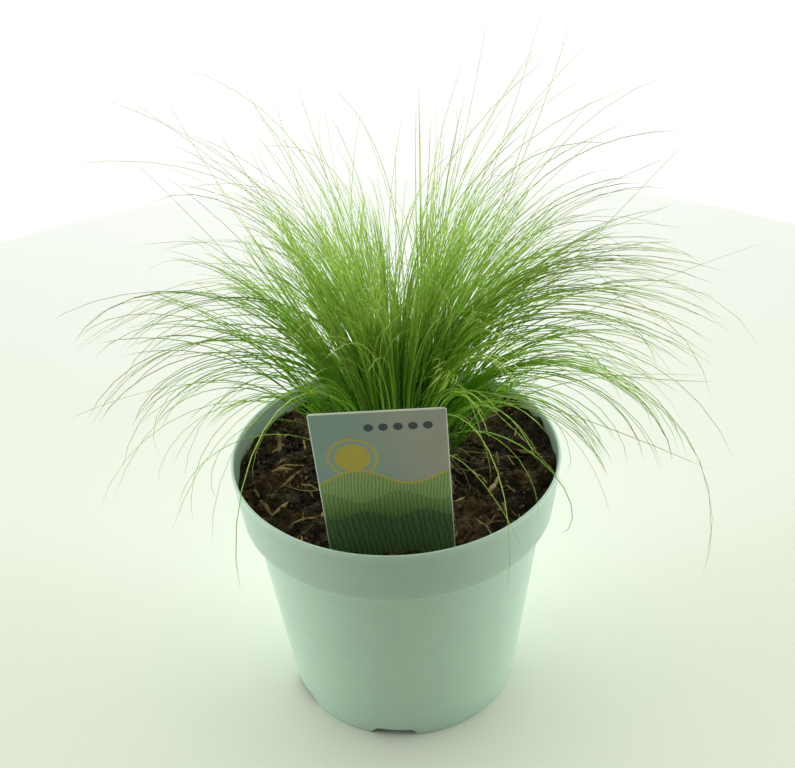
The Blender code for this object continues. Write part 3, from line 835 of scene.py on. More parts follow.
@dataclass
class NurseryPot:
    """The thin moulded pot: a turned wall with a band, a foot ring with four notches, a floor with drains."""

    height: float = 145.0 * MM
    rim_radius: float = 85.0 * MM
    lip_wall: float = 1.6 * MM
    band_height: float = 30.6 * MM
    band_foot_radius: float = 81.7 * MM
    body_top_radius: float = 77.0 * MM
    base_radius: float = 64.0 * MM
    body_wall: float = 1.4 * MM
    foot_height: float = 5.0 * MM
    foot_wall: float = 2.6 * MM
    floor_wall: float = 1.6 * MM
    notch_azimuths: tuple[float, ...] = (-97.0, -152.0, 83.0, 28.0)
    notch_width: float = 26.0 * MM
    notch_top_width: float = 19.0 * MM
    notch_height: float = 4.6 * MM
    notch_reach: float = 14.0 * MM
    drains: int = 6
    drain_radius: float = 5.0 * MM
    drain_circle: float = 42.0 * MM
    plate_radius: float = 57.0 * MM
    plate_rows: int = 7
    plate_steps: int = 24
    bend_steps: int = 5
    longest: float = 3.5 * MM
    steps: int = 432
    finish: MouldedPlastic = MouldedPlastic()

    def wall_radius(self, height: Array | float) -> Array:
        """Find the wall's inner radius: two straight slopes with a step under the band.

        Args:
            height: Height or heights.

        Returns:
            The radius at each.
        """
        height = np.asarray(height, float)
        band = self.rim_radius - self.lip_wall
        band = band + (self.height - height) / self.band_height * (self.band_foot_radius - self.rim_radius)
        share = height / (self.height - self.band_height)
        body = self.base_radius + share * (self.body_top_radius - self.base_radius) - self.body_wall
        return np.where(height > self.height - self.band_height + self.body_wall, band, body)

    def outline(self) -> Array:
        """Draw the wall's outline: out over the floor, up inside, over the lip, down and back in.

        Returns:
            Radius and height of its points.
        """
        top = self.foot_height + self.floor_wall
        step = self.height - self.band_height
        inner_lip = self.rim_radius - self.lip_wall
        inner_foot = self.base_radius - self.foot_wall
        corners = [
            (self.plate_radius, top, 0.0),
            (float(self.wall_radius(top)), top, 2.0 * MM),
            (float(self.wall_radius(step - 1.0 * MM)), step - 1.0 * MM, 0.8 * MM),
            (float(self.wall_radius(step + 2.4 * MM)), step + 2.4 * MM, 0.8 * MM),
            (inner_lip, self.height, 0.35 * MM),
            (self.rim_radius, self.height, 0.55 * MM),
            (self.band_foot_radius, step, 1.6 * MM),
            (self.body_top_radius, step, 1.2 * MM),
            (self.base_radius, 0.0, 1.1 * MM),
            (inner_foot, 0.0, 0.4 * MM),
            (inner_foot, self.foot_height, 0.4 * MM),
            (self.plate_radius, self.foot_height, 0.0),
        ]
        return fine_outline(rounded_outline(corners, self.bend_steps), self.longest)

    def raise_notches(self, points: Array) -> Array:
        """Lift the foot's points in each notch, squeezed under the height where the lift fades out.

        Args:
            points: Points of the wall.

        Returns:
            The points with the notches raised.
        """
        radius = np.hypot(points[:, 0], points[:, 1])
        turn = np.arctan2(points[:, 1], points[:, 0])
        ramp = 0.5 * (self.notch_width - self.notch_top_width)
        lift = np.zeros(len(points))
        for azimuth in self.notch_azimuths:
            off = (turn - math.radians(azimuth) + math.pi) % TURN - math.pi
            inside = 0.5 * self.notch_width - np.abs(off) * self.base_radius
            lift = np.maximum(lift, self.notch_height * np.clip(inside / ramp, 0.0, 1.0))
        outside = radius > self.base_radius - 0.6 * self.foot_wall
        ceiling = np.where(outside, self.notch_reach, self.foot_height)
        moved = lift * np.clip(1.0 - points[:, 2] / ceiling, 0.0, 1.0)
        slope = (self.body_top_radius - self.base_radius) / (self.height - self.band_height)
        grown = radius + np.where(outside, moved * slope, 0.0)
        foot = radius > self.plate_radius + 0.5 * MM
        grown = np.where(foot, grown, radius)
        return polar(grown, turn, points[:, 2] + np.where(foot, moved, 0.0))

    def plate(self, level: float, up: bool) -> Surface:
        """One side of the floor: a sector for each drain, a grid between its circle and its own outline.

        A sector's outline runs out along one side, round the arc and back along the other side. A grid
        point blends an outline point with the circle's point in the same direction from the drain's middle.

        Args:
            level: Height of the side.
            up: Whether it faces up.

        Returns:
            The side as a surface.
        """
        half = math.pi / self.drains
        arc_steps = self.steps // self.drains
        out = np.linspace(0.0, self.plate_radius, self.plate_steps + 1)[:-1]
        turn = np.linspace(-half, half, arc_steps + 1)
        side_a = np.stack([out * math.cos(-half), out * math.sin(-half)], axis=-1)
        arc = np.stack([self.plate_radius * np.cos(turn), self.plate_radius * np.sin(turn)], axis=-1)
        side_b = np.stack([out * math.cos(half), out * math.sin(half)], axis=-1)[:0:-1]
        outline = np.concatenate([side_a, arc, side_b])
        middle = np.array([self.drain_circle, 0.0])
        circle = middle + unit(outline - middle) * self.drain_radius
        share = np.linspace(0.0, 1.0, self.plate_rows)[:, None, None]
        flat = mix(circle, outline, share)
        sectors = []
        for index in range(self.drains):
            angle = 2.0 * half * index + half
            cos, sin = math.cos(angle), math.sin(angle)
            x = flat[..., 0] * cos - flat[..., 1] * sin
            y = flat[..., 0] * sin + flat[..., 1] * cos
            points = np.stack([x, y, np.full_like(x, level)], axis=-1).reshape(-1, 3)
            sectors.append(Surface(points, grid_faces(self.plate_rows, len(outline), True, up)))
        return Surface.join(sectors)

    def drain_walls(self, top: Surface, bottom: Surface) -> Surface:
        """Join the drain circles of the floor's two sides.

        Args:
            top: The upper side, which has a circle as the first row of each sector.
            bottom: The lower side.

        Returns:
            The drains' walls.
        """
        size = len(top.points) // self.drains
        count = size // self.plate_rows
        walls = []
        for index in range(self.drains):
            rows = [s.points[index * size:index * size + count] for s in (top, bottom)]
            walls.append(Surface(np.concatenate(rows), grid_faces(2, count, True)))
        return Surface.join(walls)

    def inner_shade_share(self, points: Array) -> Array:
        """Share of painted shade on the wall at points: 1 on the inside, fading out just under the lip, and 0
        outside.
        """
        inner = np.hypot(points[:, 0], points[:, 1]) < self.wall_radius(points[:, 2]) + 0.3 * MM
        return inner * (1.0 - smooth_step(self.height - 3.0 * MM, self.height - 0.8 * MM, points[:, 2]))

    def band_shares(self, points: Array) -> tuple[Array, Array]:
        """Tell how far points get the band's painted shade and its foot edge's painted highlight.

        Args:
            points: Points of the pot.

        Returns:
            Shares of painted shade on the outside of the band, and of painted highlight on the rounded edge
            at its foot.
        """
        step = self.height - self.band_height
        outside = np.hypot(points[:, 0], points[:, 1]) > self.body_top_radius + 1.5 * MM
        off = np.abs(points[:, 2] - step - 0.7 * MM)
        band = outside * (1.0 - smooth_step(self.height - 2.0 * MM, self.height - 0.5 * MM, points[:, 2]))
        return band, outside * (1.0 - smooth_step(0.3 * MM, 0.9 * MM, off))

    def underside_shade_share(self, points: Array) -> Array:
        """Share of painted shade on points: nearly all of the underside, behind the foot, and none of the
        rest.
        """
        behind = np.hypot(points[:, 0], points[:, 1]) < self.base_radius - 0.6 * self.foot_wall
        return 0.9 * behind * (points[:, 2] < self.foot_height + 0.5 * self.floor_wall)

    def build(self) -> None:
        """Turn the outline, add the floor, and put the pot in place of the model's."""
        outline = self.outline()
        turn = TURN * np.arange(self.steps) / self.steps
        points = polar(outline[:, :1], turn[None], outline[:, 1:]).reshape(-1, 3)
        wall = Surface(self.raise_notches(points), grid_faces(len(outline), self.steps, True))
        top = self.plate(self.foot_height + self.floor_wall, True)
        bottom = self.plate(self.foot_height, False)
        whole = Surface.join([wall, top, bottom, self.drain_walls(top, bottom)])
        whole.values["damp"] = self.inner_shade_share(whole.points)
        whole.values["band"], whole.values["edge"] = self.band_shares(whole.points)
        whole.values["soiled"] = self.underside_shade_share(whole.points)
        mesh = whole.mesh("pot_shell", weld=0.01 * MM)
        mesh.set_sharp_from_angle(angle=math.radians(40.0))
        add_piece("pot_shell", mesh, self.finish.material(), Slot.POT, "pot")


@dataclass
class PottingSoil:
    """The soil: a closed plug with a crumbly top, and loose crumbs, wood chips and fibres on it."""

    pot: NurseryPot
    top: float = 133.0 * MM
    floor: float = 6.9 * MM
    lump: float = 1.5 * MM
    rear_rise: float = 7.0 * MM
    rear_azimuth: float = 35.0
    dip: float = 9.0 * MM
    dip_x: float = -8.0 * MM
    dip_y: float = -70.0 * MM
    dip_width: float = 37.0 * MM
    dip_depth: float = 13.0 * MM
    gap: float = 0.3 * MM
    front_fall: float = 2.0 * MM
    calm_radius: float = 40.0 * MM
    warp: float = 0.9 * MM
    cap_height: float = 0.50
    noises: tuple[tuple[float, float, int], ...] = (
        (8.0 * MM, 1.1 * MM, 5),
        (3.4 * MM, 0.8 * MM, 6),
        (1.6 * MM, 0.55 * MM, 7),
    )
    rings: int = 110
    steps: int = 396
    clods: int = 900
    clod_size: Spread = Spread(0.8 * MM, 3.4 * MM, 3.0)
    crumbs: int = 4600
    crumb_size: Spread = Spread(0.35 * MM, 1.9 * MM, 3.5)
    crumb_squeeze: Pair = (0.45, 1.15)
    crumb_rough: Pair = (0.65, 1.30)
    crumb_tone: Tint = Tint(0.34, 0.19, 0.02, 0.80)
    crumb_warmth: Tint = Tint(0.05, 0.35, 0.0, 0.9)
    chips: int = 150
    chip_length: Spread = Spread(3.0 * MM, 16.0 * MM, 1.6)
    chip_width: Spread = Spread(0.6 * MM, 2.9 * MM, 1.6)
    chip_taper: tuple[float, ...] = (0.45, 0.85, 1.0, 0.95, 1.0, 0.8, 0.3)
    chip_tone: Tint = Tint(0.80, 0.13, 0.45, 1.0)
    chip_warmth: Tint = Tint(0.0, 0.18, 0.0, 0.6)
    fibres: int = 300
    fibre_steps: int = 8
    fibre_length: Spread = Spread(4.0 * MM, 16.0 * MM)
    fibre_curl: float = 1.1
    fibre_tone: Tint = Tint(0.45, 0.20, 0.10, 0.90)
    fibre_warmth: Tint = Tint(0.30, 0.30, 0.0, 0.9)
    crown_radius: float = 27.6 * MM
    finish: Earth = Earth()

    def level(self, x: Array, y: Array) -> Array:
        """Height of the even soil at a place.

        It is the top, plus a rise at the right rear and low lumps, less a fall to the front and the dip that
        the label has pressed in.

        Args:
            x: Places across.
            y: Places away.

        Returns:
            Heights.
        """
        radius = np.hypot(x, y)
        turn = np.arctan2(y, x) - math.radians(self.rear_azimuth)
        edge = (radius / (self.pot.rim_radius - self.pot.lip_wall)) ** 3
        rise = self.rear_rise * edge * np.maximum(0.0, np.cos(turn)) ** 2
        front = self.front_fall * edge * np.maximum(0.0, -y / (radius + 1e-6))
        lumps = np.sin(x * 210.0 + 1.0) * np.sin(y * 190.0) + 0.6 * np.sin(x * 430.0 - y * 350.0 + 2.0)
        pressed = ((x - self.dip_x) / self.dip_width) ** 4 + ((y - self.dip_y) / self.dip_depth) ** 4
        lumps = self.lump * lumps * np.minimum(1.0, radius / self.calm_radius)
        return self.top + rise - front + lumps - self.dip * np.exp(-pressed)

    def clod_places(self) -> tuple[Array, Array]:
        """Spread the clods evenly over the disc.

        Returns:
            Their places and sizes.
        """
        rng = default_rng(11)
        radius = self.pot.rim_radius * np.sqrt(rng.random(self.clods))
        turn = rng.random(self.clods) * TURN
        size = self.clod_size.draw(rng, self.clods)
        return np.stack([radius * np.cos(turn), radius * np.sin(turn)], axis=-1), size

    def relief(self, x: Array, y: Array) -> tuple[Array, Array]:
        """Height of the crumbly top over the even soil, and its tone, which paints shade into the hollows.

        The height is the tallest clod cap at a place, the warped top of a flattened ball, plus three layers
        of noise, each finer and lower than the one before.

        Args:
            x: Places across.
            y: Places away.

        Returns:
            Heights, and tones from 0 in the hollows to 1 on the crests: painted shade in the hollows.
        """
        places, sizes = self.clod_places()
        flat = np.stack([x, y], axis=-1).reshape(-1, 2)
        layers = [np.c_[flat, np.full(len(flat), z)] for z in (0.0, 0.02)]
        warp = np.stack([lattice_noise(layer, 2.6 * MM, 3) for layer in layers], axis=-1) * self.warp
        caps = np.zeros(len(flat))
        for block in np.array_split(np.arange(len(flat)), 40):
            away = np.linalg.norm((flat[block] + warp[block])[:, None] - places[None], axis=-1)
            cap = np.sqrt(np.maximum(0.0, 1.0 - (away / sizes) ** 2)) * sizes * self.cap_height
            caps[block] = cap.max(axis=1)
        spot = np.c_[flat, np.zeros(len(flat))]
        rough = sum(lattice_noise(spot, scale, seed) * tall for scale, tall, seed in self.noises)
        height = (caps + rough).reshape(x.shape)
        # Painted shade: lower places get a darker tone, so the hollows between the clods look shadowed.
        tone = np.clip(0.13 + height / (6.5 * MM), 0.0, 0.55)
        return height, tone

    def surface_height(self, x: Array, y: Array) -> Array:
        """Height of the finished top at places."""
        return self.level(x, y) + self.relief(x, y)[0] * self.calm(x, y)

    def calm(self, x: Array, y: Array) -> Array:
        """Share of the relief that is left: all of it, but none against the wall."""
        return smooth_step(0.0, 1.5 * MM, self.pot.wall_radius(self.top) - np.hypot(x, y))

    def plug(self) -> Surface:
        """Build the plug: the crumbly top on a polar grid, then down the wall and over the floor.

        Returns:
            The closed surface.
        """
        edge = float(self.pot.wall_radius(self.top)) - self.gap
        share = np.linspace(0.0, 1.0, self.rings + 1)[1:]
        radius = edge * share ** 0.85
        turn = TURN * np.arange(self.steps) / self.steps
        x = radius[:, None] * np.cos(turn)
        y = radius[:, None] * np.sin(turn)
        relief, tone = self.relief(x, y)
        z = self.level(x, y) + relief * self.calm(x, y)
        limit = self.pot.wall_radius(z[-1]) - self.gap
        x[-1], y[-1] = limit * np.cos(turn), limit * np.sin(turn)
        top = np.stack([x, y, z], axis=-1)
        step = self.pot.height - self.pot.band_height
        heights = np.array([step + 3.4 * MM, step - 1.4 * MM, self.floor + 2.4 * MM, self.floor])
        insets = np.array([2.0 * self.gap, 2.0 * self.gap, 2.0 * self.gap, 3.0 * MM])
        side = polar((self.pot.wall_radius(heights) - insets)[:, None], turn, heights[:, None])
        middle = float(self.level(np.zeros(1), np.zeros(1))[0])
        whole = shut_rows(np.concatenate([top, side]), middle, self.floor)
        # The top's tones carry the painted shade of its hollows.
        whole.values["tone"] = np.append(tone.ravel(), np.full(len(whole.points) - tone.size, 0.3))
        whole.values["warm"] = np.clip(lattice_noise(whole.points, 11.0 * MM, 21) - 0.25, 0.0, 0.6)
        return whole

    def scatter(self, rng: Generator, count: int, inner: float,
                margin: float) -> tuple[Array, Array]:
        """Random places on the soil's disc between the crown and the wall.

        Args:
            rng: Random numbers.
            count: How many places.
            inner: Least radius.
            margin: Room kept at the wall.

        Returns:
            The places' x and y.
        """
        outer = float(self.pot.wall_radius(self.top)) - margin
        radius = np.sqrt(mix(inner ** 2, outer ** 2, rng.random(count)))
        turn = rng.random(count) * TURN
        return radius * np.cos(turn), radius * np.sin(turn)

    def loose_crumbs(self) -> Surface:
        """Scatter the crumbs: balls of twenty faces, squeezed, roughened and turned at random.

        Returns:
            All the crumbs, sunk by a third.
        """
        rng = default_rng(12)
        ball, faces = icosahedron()
        x, y = self.scatter(rng, self.crumbs, 0.5 * self.crown_radius, 1.8 * MM)
        size = self.crumb_size.draw(rng, self.crumbs)
        squeeze = rng.uniform(*self.crumb_squeeze, (self.crumbs, 1, 3))
        rough = rng.uniform(*self.crumb_rough, (self.crumbs, len(ball), 1))
        shape = ball[None] * rough * squeeze * size[:, None, None]
        shape = turn_at_random(rng, shape)
        places = np.stack([x, y, self.surface_height(x, y) + 0.35 * size], axis=-1)
        points = (shape + places[:, None]).reshape(-1, 3)
        starts = np.arange(self.crumbs)[:, None, None] * len(ball)
        tone = np.repeat(self.crumb_tone.draw(rng, self.crumbs), len(ball))
        warm = np.repeat(self.crumb_warmth.draw(rng, self.crumbs), len(ball))
        triangles = (faces[None] + starts).reshape(-1, 3)
        return Surface(points, triangles=triangles, values={"tone": tone, "warm": warm})

    def wood_chips(self) -> Surface:
        """Scatter pale wood and straw chips: short slivers with torn ends that lie on the crumbs.

        Returns:
            All the chips.
        """
        rng = default_rng(13)
        x, y = self.scatter(rng, self.chips, self.crown_radius + 2.0 * MM, 7.0 * MM)
        length = self.chip_length.draw(rng, self.chips)
        width = self.chip_width.draw(rng, self.chips) * np.sqrt(length / (8.0 * MM))
        turn = rng.random(self.chips) * math.pi
        taper = np.array(self.chip_taper)
        share = np.linspace(-0.5, 0.5, len(taper))
        bow = rng.normal(0.0, 0.03, (self.chips, 1)) * length[:, None] * (0.25 - share ** 2) * 4.0
        along = share[None] * length[:, None]
        px = x[:, None] + along * np.cos(turn)[:, None] - bow * np.sin(turn)[:, None]
        py = y[:, None] + along * np.sin(turn)[:, None] + bow * np.cos(turn)[:, None]
        inside = np.minimum(1.0, (self.pot.wall_radius(self.top) - 2.5 * MM) / np.hypot(px, py))
        px, py = px * inside, py * inside
        rest = self.surface_height(px, py)
        slope = rng.normal(0.0, 0.10, (self.chips, 1)) * along
        pz = mix(rest.mean(axis=1, keepdims=True), rest, 0.35) + slope + 0.35 * width[:, None]
        paths = np.stack([px, py, np.maximum(pz, rest + 0.1 * MM)], axis=-1)
        radii = 0.5 * width[:, None] * taper * rng.uniform(0.55, 1.15, (self.chips, len(taper)))
        tone = self.chip_tone.draw(rng, self.chips)
        warm = self.chip_warmth.draw(rng, self.chips)
        return tubes(paths, radii, 5, {"tone": tone, "warm": warm})

    def root_fibres(self) -> Surface:
        """Scatter hair-thin roots and bark fibres: arcs that lie over the crumbs.

        Returns:
            All the fibres.
        """
        rng = default_rng(14)
        x, y = self.scatter(rng, self.fibres, self.crown_radius, 9.0 * MM)
        length = self.fibre_length.draw(rng, self.fibres)
        turn = rng.random(self.fibres) * TURN
        curl = rng.normal(0.0, self.fibre_curl, self.fibres)
        steps = self.fibre_steps
        share = np.linspace(0.0, 1.0, steps)
        angle = turn[:, None] + curl[:, None] * share
        px = x[:, None] + np.cumsum(np.cos(angle), axis=1) * length[:, None] / steps
        py = y[:, None] + np.cumsum(np.sin(angle), axis=1) * length[:, None] / steps
        inside = np.minimum(1.0, (self.pot.wall_radius(self.top) - 1.5 * MM) / np.hypot(px, py))
        px, py = px * inside, py * inside
        arch = np.sin(share * math.pi) * rng.uniform(0.1, 1.2, (self.fibres, 1)) * MM
        paths = np.stack([px, py, self.surface_height(px, py) + 0.15 * MM + arch], axis=-1)
        radii = np.ones((self.fibres, steps)) * rng.uniform(0.10, 0.26, (self.fibres, 1)) * MM
        tone = self.fibre_tone.draw(rng, self.fibres)
        warm = self.fibre_warmth.draw(rng, self.fibres)
        return tubes(paths, radii, 3, {"tone": tone, "warm": warm})

    def build(self) -> None:
        """Put the plug in place of the model's soil, and lay the loose pieces on it."""
        material = self.finish.material()
        add_piece("soil_plug", self.plug().mesh("soil_plug"), material, Slot.SOIL, "soil")
        add_piece("soil_crumbs", self.loose_crumbs().mesh("soil_crumbs", smooth=False), material, Slot.SOIL)
        add_piece("soil_chips", self.wood_chips().mesh("soil_chips", smooth=False), material, Slot.SOIL)
        add_piece("soil_fibres", self.root_fibres().mesh("soil_fibres"), material, Slot.SOIL)


def icosahedron() -> tuple[Array, Array]:
    """The regular ball of twenty triangles.

    Returns:
        Twelve points at distance 1, and the faces' point indices.
    """
    bm = bmesh.new()
    bmesh.ops.create_icosphere(bm, subdivisions=1, radius=1.0)
    points = np.array([v.co[:] for v in bm.verts])
    faces = np.array([[v.index for v in f.verts] for f in bm.faces])
    bm.free()
    return points, faces


def turn_at_random(rng: Generator, shapes: Array) -> Array:
    """Turn each of many small shapes by its own random rotation, from a random unit quaternion.

    Args:
        rng: Random numbers.
        shapes: Places, shaped shape, point, xyz.

    Returns:
        The turned shapes.
    """
    q = unit(rng.normal(size=(len(shapes), 4)))
    w, v = q[:, :1, None], q[:, None, 1:]
    cross = np.cross(np.broadcast_to(v, shapes.shape), shapes)
    return shapes + 2.0 * w * cross + 2.0 * np.cross(np.broadcast_to(v, shapes.shape), cross)


@dataclass
class PlantLabel:
    """The stake label: a thin coated card with small round corners over a pointed stake."""

    width: float = 59.5 * MM
    card: float = 91.0 * MM
    stake: float = 45.0 * MM
    stake_width: float = 16.0 * MM
    thickness: float = 0.6 * MM
    corner: float = 1.2 * MM
    edge: float = 0.50 * MM
    taper: float = 0.22
    rows: tuple[int, int, int] = (6, 24, 14)
    columns: int = 15
    top: float = 214.4 * MM
    x: float = -7.4 * MM
    y: float = -71.0 * MM
    tilt: float = 7.0
    roll: float = 2.2
    turn: float = -2.9
    finish: PrintedCard = PrintedCard()

    def pose(self) -> Matrix:
        """Stand the label up, tilt it forward, roll it to the left and turn it.

        Returns:
            Its place.
        """
        place = Matrix.Translation((self.x, self.y, self.top))
        turns = (("Z", self.turn), ("Y", -self.roll), ("X", 90.0 + self.tilt))
        for axis, angle in turns:
            place = place @ Matrix.Rotation(math.radians(angle), 4, axis)
        return place

    def half_width(self, down: Array) -> Array:
        """Find half the label's width: round corners, card, taper, stake and point.

        Args:
            down: Ways down from its top.

        Returns:
            Half the width at each.
        """
        half = 0.5 * self.width
        shoulder = self.card + self.taper * self.stake
        point = self.card + self.stake
        above = np.maximum(0.0, self.corner - down)
        inset = self.corner - np.sqrt(np.maximum(0.0, self.corner ** 2 - above ** 2))
        places = [0.0, self.card - 2.0 * MM, shoulder, point]
        widths = [half, half, 0.5 * self.stake_width, 0.05 * MM]
        return np.interp(down, places, widths) - inset

    def build(self) -> None:
        """Build the card as a grid wrapped round its thickness, and put it in place of the model's."""
        stops = (self.edge, self.corner, self.card - 2.0 * MM, self.card + self.stake)
        spans = [np.linspace(a, b, n)[1:] for a, b, n in zip(stops[:-1], stops[1:], self.rows)]
        down = np.concatenate([[0.0, self.edge], *spans])
        half = self.half_width(down)[:, None]
        inner = np.linspace(-1.0, 1.0, self.columns)
        across = np.concatenate([inner, inner[::-1]])
        lifts = np.repeat([0.5, -0.5], len(inner)) * self.thickness
        rim = np.abs(across) == 1.0
        border = np.abs(across) > 0.8
        bevel = np.sign(across) * np.maximum(half - self.edge, half * np.abs(across))
        x = np.where(border & ~rim, bevel, half * across)
        y = np.broadcast_to(-down[:, None], x.shape)
        z = np.broadcast_to(np.where(rim, lifts * 0.45, lifts), x.shape)
        shown = np.broadcast_to((~rim & (lifts > 0.0)).astype(float), x.shape).copy()
        shown[:2] = 0.0
        points = np.stack([x, y, z], axis=-1).reshape(-1, 3)
        columns = len(across)
        cap_top = self.cap(0, len(inner), columns)
        cap_foot = self.cap((len(down) - 1) * columns, len(inner), columns)[:, ::-1]
        quads = np.concatenate([grid_faces(len(down), columns, True), cap_top, cap_foot])
        surface = Surface(points, quads, values={"print": shown.ravel()})
        mesh = surface.mesh("label_card", smooth=False, weld=0.001 * MM)
        self.add_uv(mesh)
        mesh.transform(self.pose())
        add_piece("label_card", mesh, self.finish.material(self.width, self.card), Slot.LABEL, "label")

    @staticmethod
    def cap(start: int, inner: int, columns: int) -> Array:
        """Shut one end of the card: each face joins two front points to the two behind them.

        Args:
            start: Index of the end's first point.
            inner: Points across the front.
            columns: Points in a row.

        Returns:
            Four point indices for each face.
        """
        near = np.arange(inner - 1)
        far = columns - 1 - near
        return start + np.stack([near, far, far - 1, near + 1], axis=-1)

    def add_uv(self, mesh: bpy.types.Mesh) -> None:
        """Give the card its map: across its width and up its height.

        Args:
            mesh: The card's mesh, not yet in place.
        """
        layer = mesh.uv_layers.new(name="card")
        index = np.zeros(len(mesh.loops), np.int32)
        mesh.loops.foreach_get("vertex_index", index)
        co = np.zeros(len(mesh.vertices) * 3, np.float32)
        mesh.vertices.foreach_get("co", co)
        co = co.reshape(-1, 3)[index]
        uv = np.stack([co[:, 0] / self.width + 0.5, 1.0 + co[:, 1] / self.card], axis=-1)
        layer.uv.foreach_set("vector", uv.astype(np.float32).ravel())


@dataclass(frozen=True)
class Growth:
    """How a ring's blades grow: how many to a lock, and shares of the lock's own lean, droop and so on.

    The thinnings take away that share of the blades at the sides and at the rear, and the parting turns the
    blades by up to that many degrees away from the front and the rear. The hairs are the share of fine, free
    blades.
    """

    blades: int
    lean: float
    droop: float
    bend: float
    reach: float
    side_thinning: float
    rear_thinning: float
    parting: float
    hairs: float = 0.10


@dataclass(frozen=True)
class Ring:
    """One ring of locks. The lean grows from lean to end_lean along a lock with the power bend."""

    name: str
    count: int
    radius: float
    lean: float
    end_lean: float
    droop_scatter: float
    bend: float
    length: float
    width: float
    spread: float
    growth: Growth


@dataclass(frozen=True)
class Lock:
    """One lock of blades: where it stands and the arc that it follows, as in the model."""

    ring: Ring
    index: int
    azimuth: float
    lean: float
    end_lean: float
    bend: float
    length: float
    swirl: float
    tip_lifts: Point

    @property
    def node(self) -> str:
        """Name of the model's node."""
        return f"{self.ring.name}_lock_{self.index + 1:02d}"


@dataclass
class Blades:
    """Many blades as arrays, one entry a blade. Each starts at a radius and azimuth on the crown."""

    azimuth: Array
    radius: Array
    height: Array
    lean: Array
    end_lean: Array
    bend: Array
    length: Array
    swirl: Array
    side: Array
    width: Array
    spread: Array
    lift: Array
    wave: Array
    phase: Array
    hair: Array
    split: float = 0.40
    spread_bend: float = 1.3
    foot_fan: float = 0.42
    split_fan: float = 0.32
    foot_lift: float = 0.2
    wave_bend: float = 1.6
    sway_rate: float = 5.2
    bob_rate: float = 4.1
    bob: float = 0.7

    def paths(self, steps: int) -> Array:
        """Walk every blade at once.

        At each step the lean grows from lean to end_lean with the power bend, and the azimuth turns by the
        swirl times the square of the share. The blade is then carried sideways, in proportion to its side, by
        the lock's growing width and the spread past the split, and lifted and waved a little towards its tip.

        Args:
            steps: Stretches in a blade.

        Returns:
            Places, shaped blade, step, xyz.
        """
        share = np.linspace(0.0, 1.0, steps + 1)[None]
        middle = 0.5 * (share[:, 1:] + share[:, :-1])
        lean = np.radians(mix(self.lean[:, None], self.end_lean[:, None], middle ** self.bend[:, None]))
        step = (self.length / steps)[:, None]
        out = np.cumsum(np.pad(np.sin(lean) * step, ((0, 0), (1, 0))), axis=1)
        rise = np.cumsum(np.pad(np.cos(lean) * step, ((0, 0), (1, 0))), axis=1)
        turn = np.radians(self.azimuth[:, None] + self.swirl[:, None] * share ** 2)
        points = polar(self.radius[:, None] + out, turn, self.height[:, None] + rise)
        flat = np.radians(self.azimuth)
        across = np.stack([-np.sin(flat), np.cos(flat), np.zeros_like(flat)], axis=-1)[:, None]
        along = unit(np.gradient(points, axis=1))
        up = unit(np.cross(across, along))
        past = np.maximum(0.0, (share - self.split) / (1.0 - self.split))
        fan = self.width[:, None] * (self.foot_fan + self.split_fan * np.minimum(share / self.split, 1.0))
        fan = self.side[:, None] * (fan + self.spread[:, None] * past ** self.spread_bend)
        wave = self.wave[:, None] * share ** self.wave_bend
        sway = wave * np.sin(self.sway_rate * share + self.phase[:, None])
        bob = wave * self.bob * np.cos(self.bob_rate * share + 1.7 * self.phase[:, None])
        raised = self.lift[:, None] * (self.foot_lift + past) + bob
        return points + across * (fan + sway)[..., None] + up * raised[..., None]


@dataclass(frozen=True)
class Bundle:
    """A bundle of blades that lie close together along one arc. Its radius and length are millimetres."""

    name: str
    blades: int
    azimuth: float
    radius: float
    lean: float
    end_lean: float
    bend: float
    length: float
    swirl: float


@dataclass(frozen=True)
class Fan:
    """A fan of single stray blades: the two ends of each number, with radius and length in millimetres."""

    name: str
    blades: int
    azimuth: Pair
    radius: Pair
    lean: Pair
    end_lean: Pair
    bend: Pair
    length: Pair
    swirl: Pair


@dataclass(frozen=True)
class Scatter:
    """How far a number varies from strand to strand, from blade to blade, and besides that in hairs."""

    strand: float
    blade: float
    hair: float = 0.0


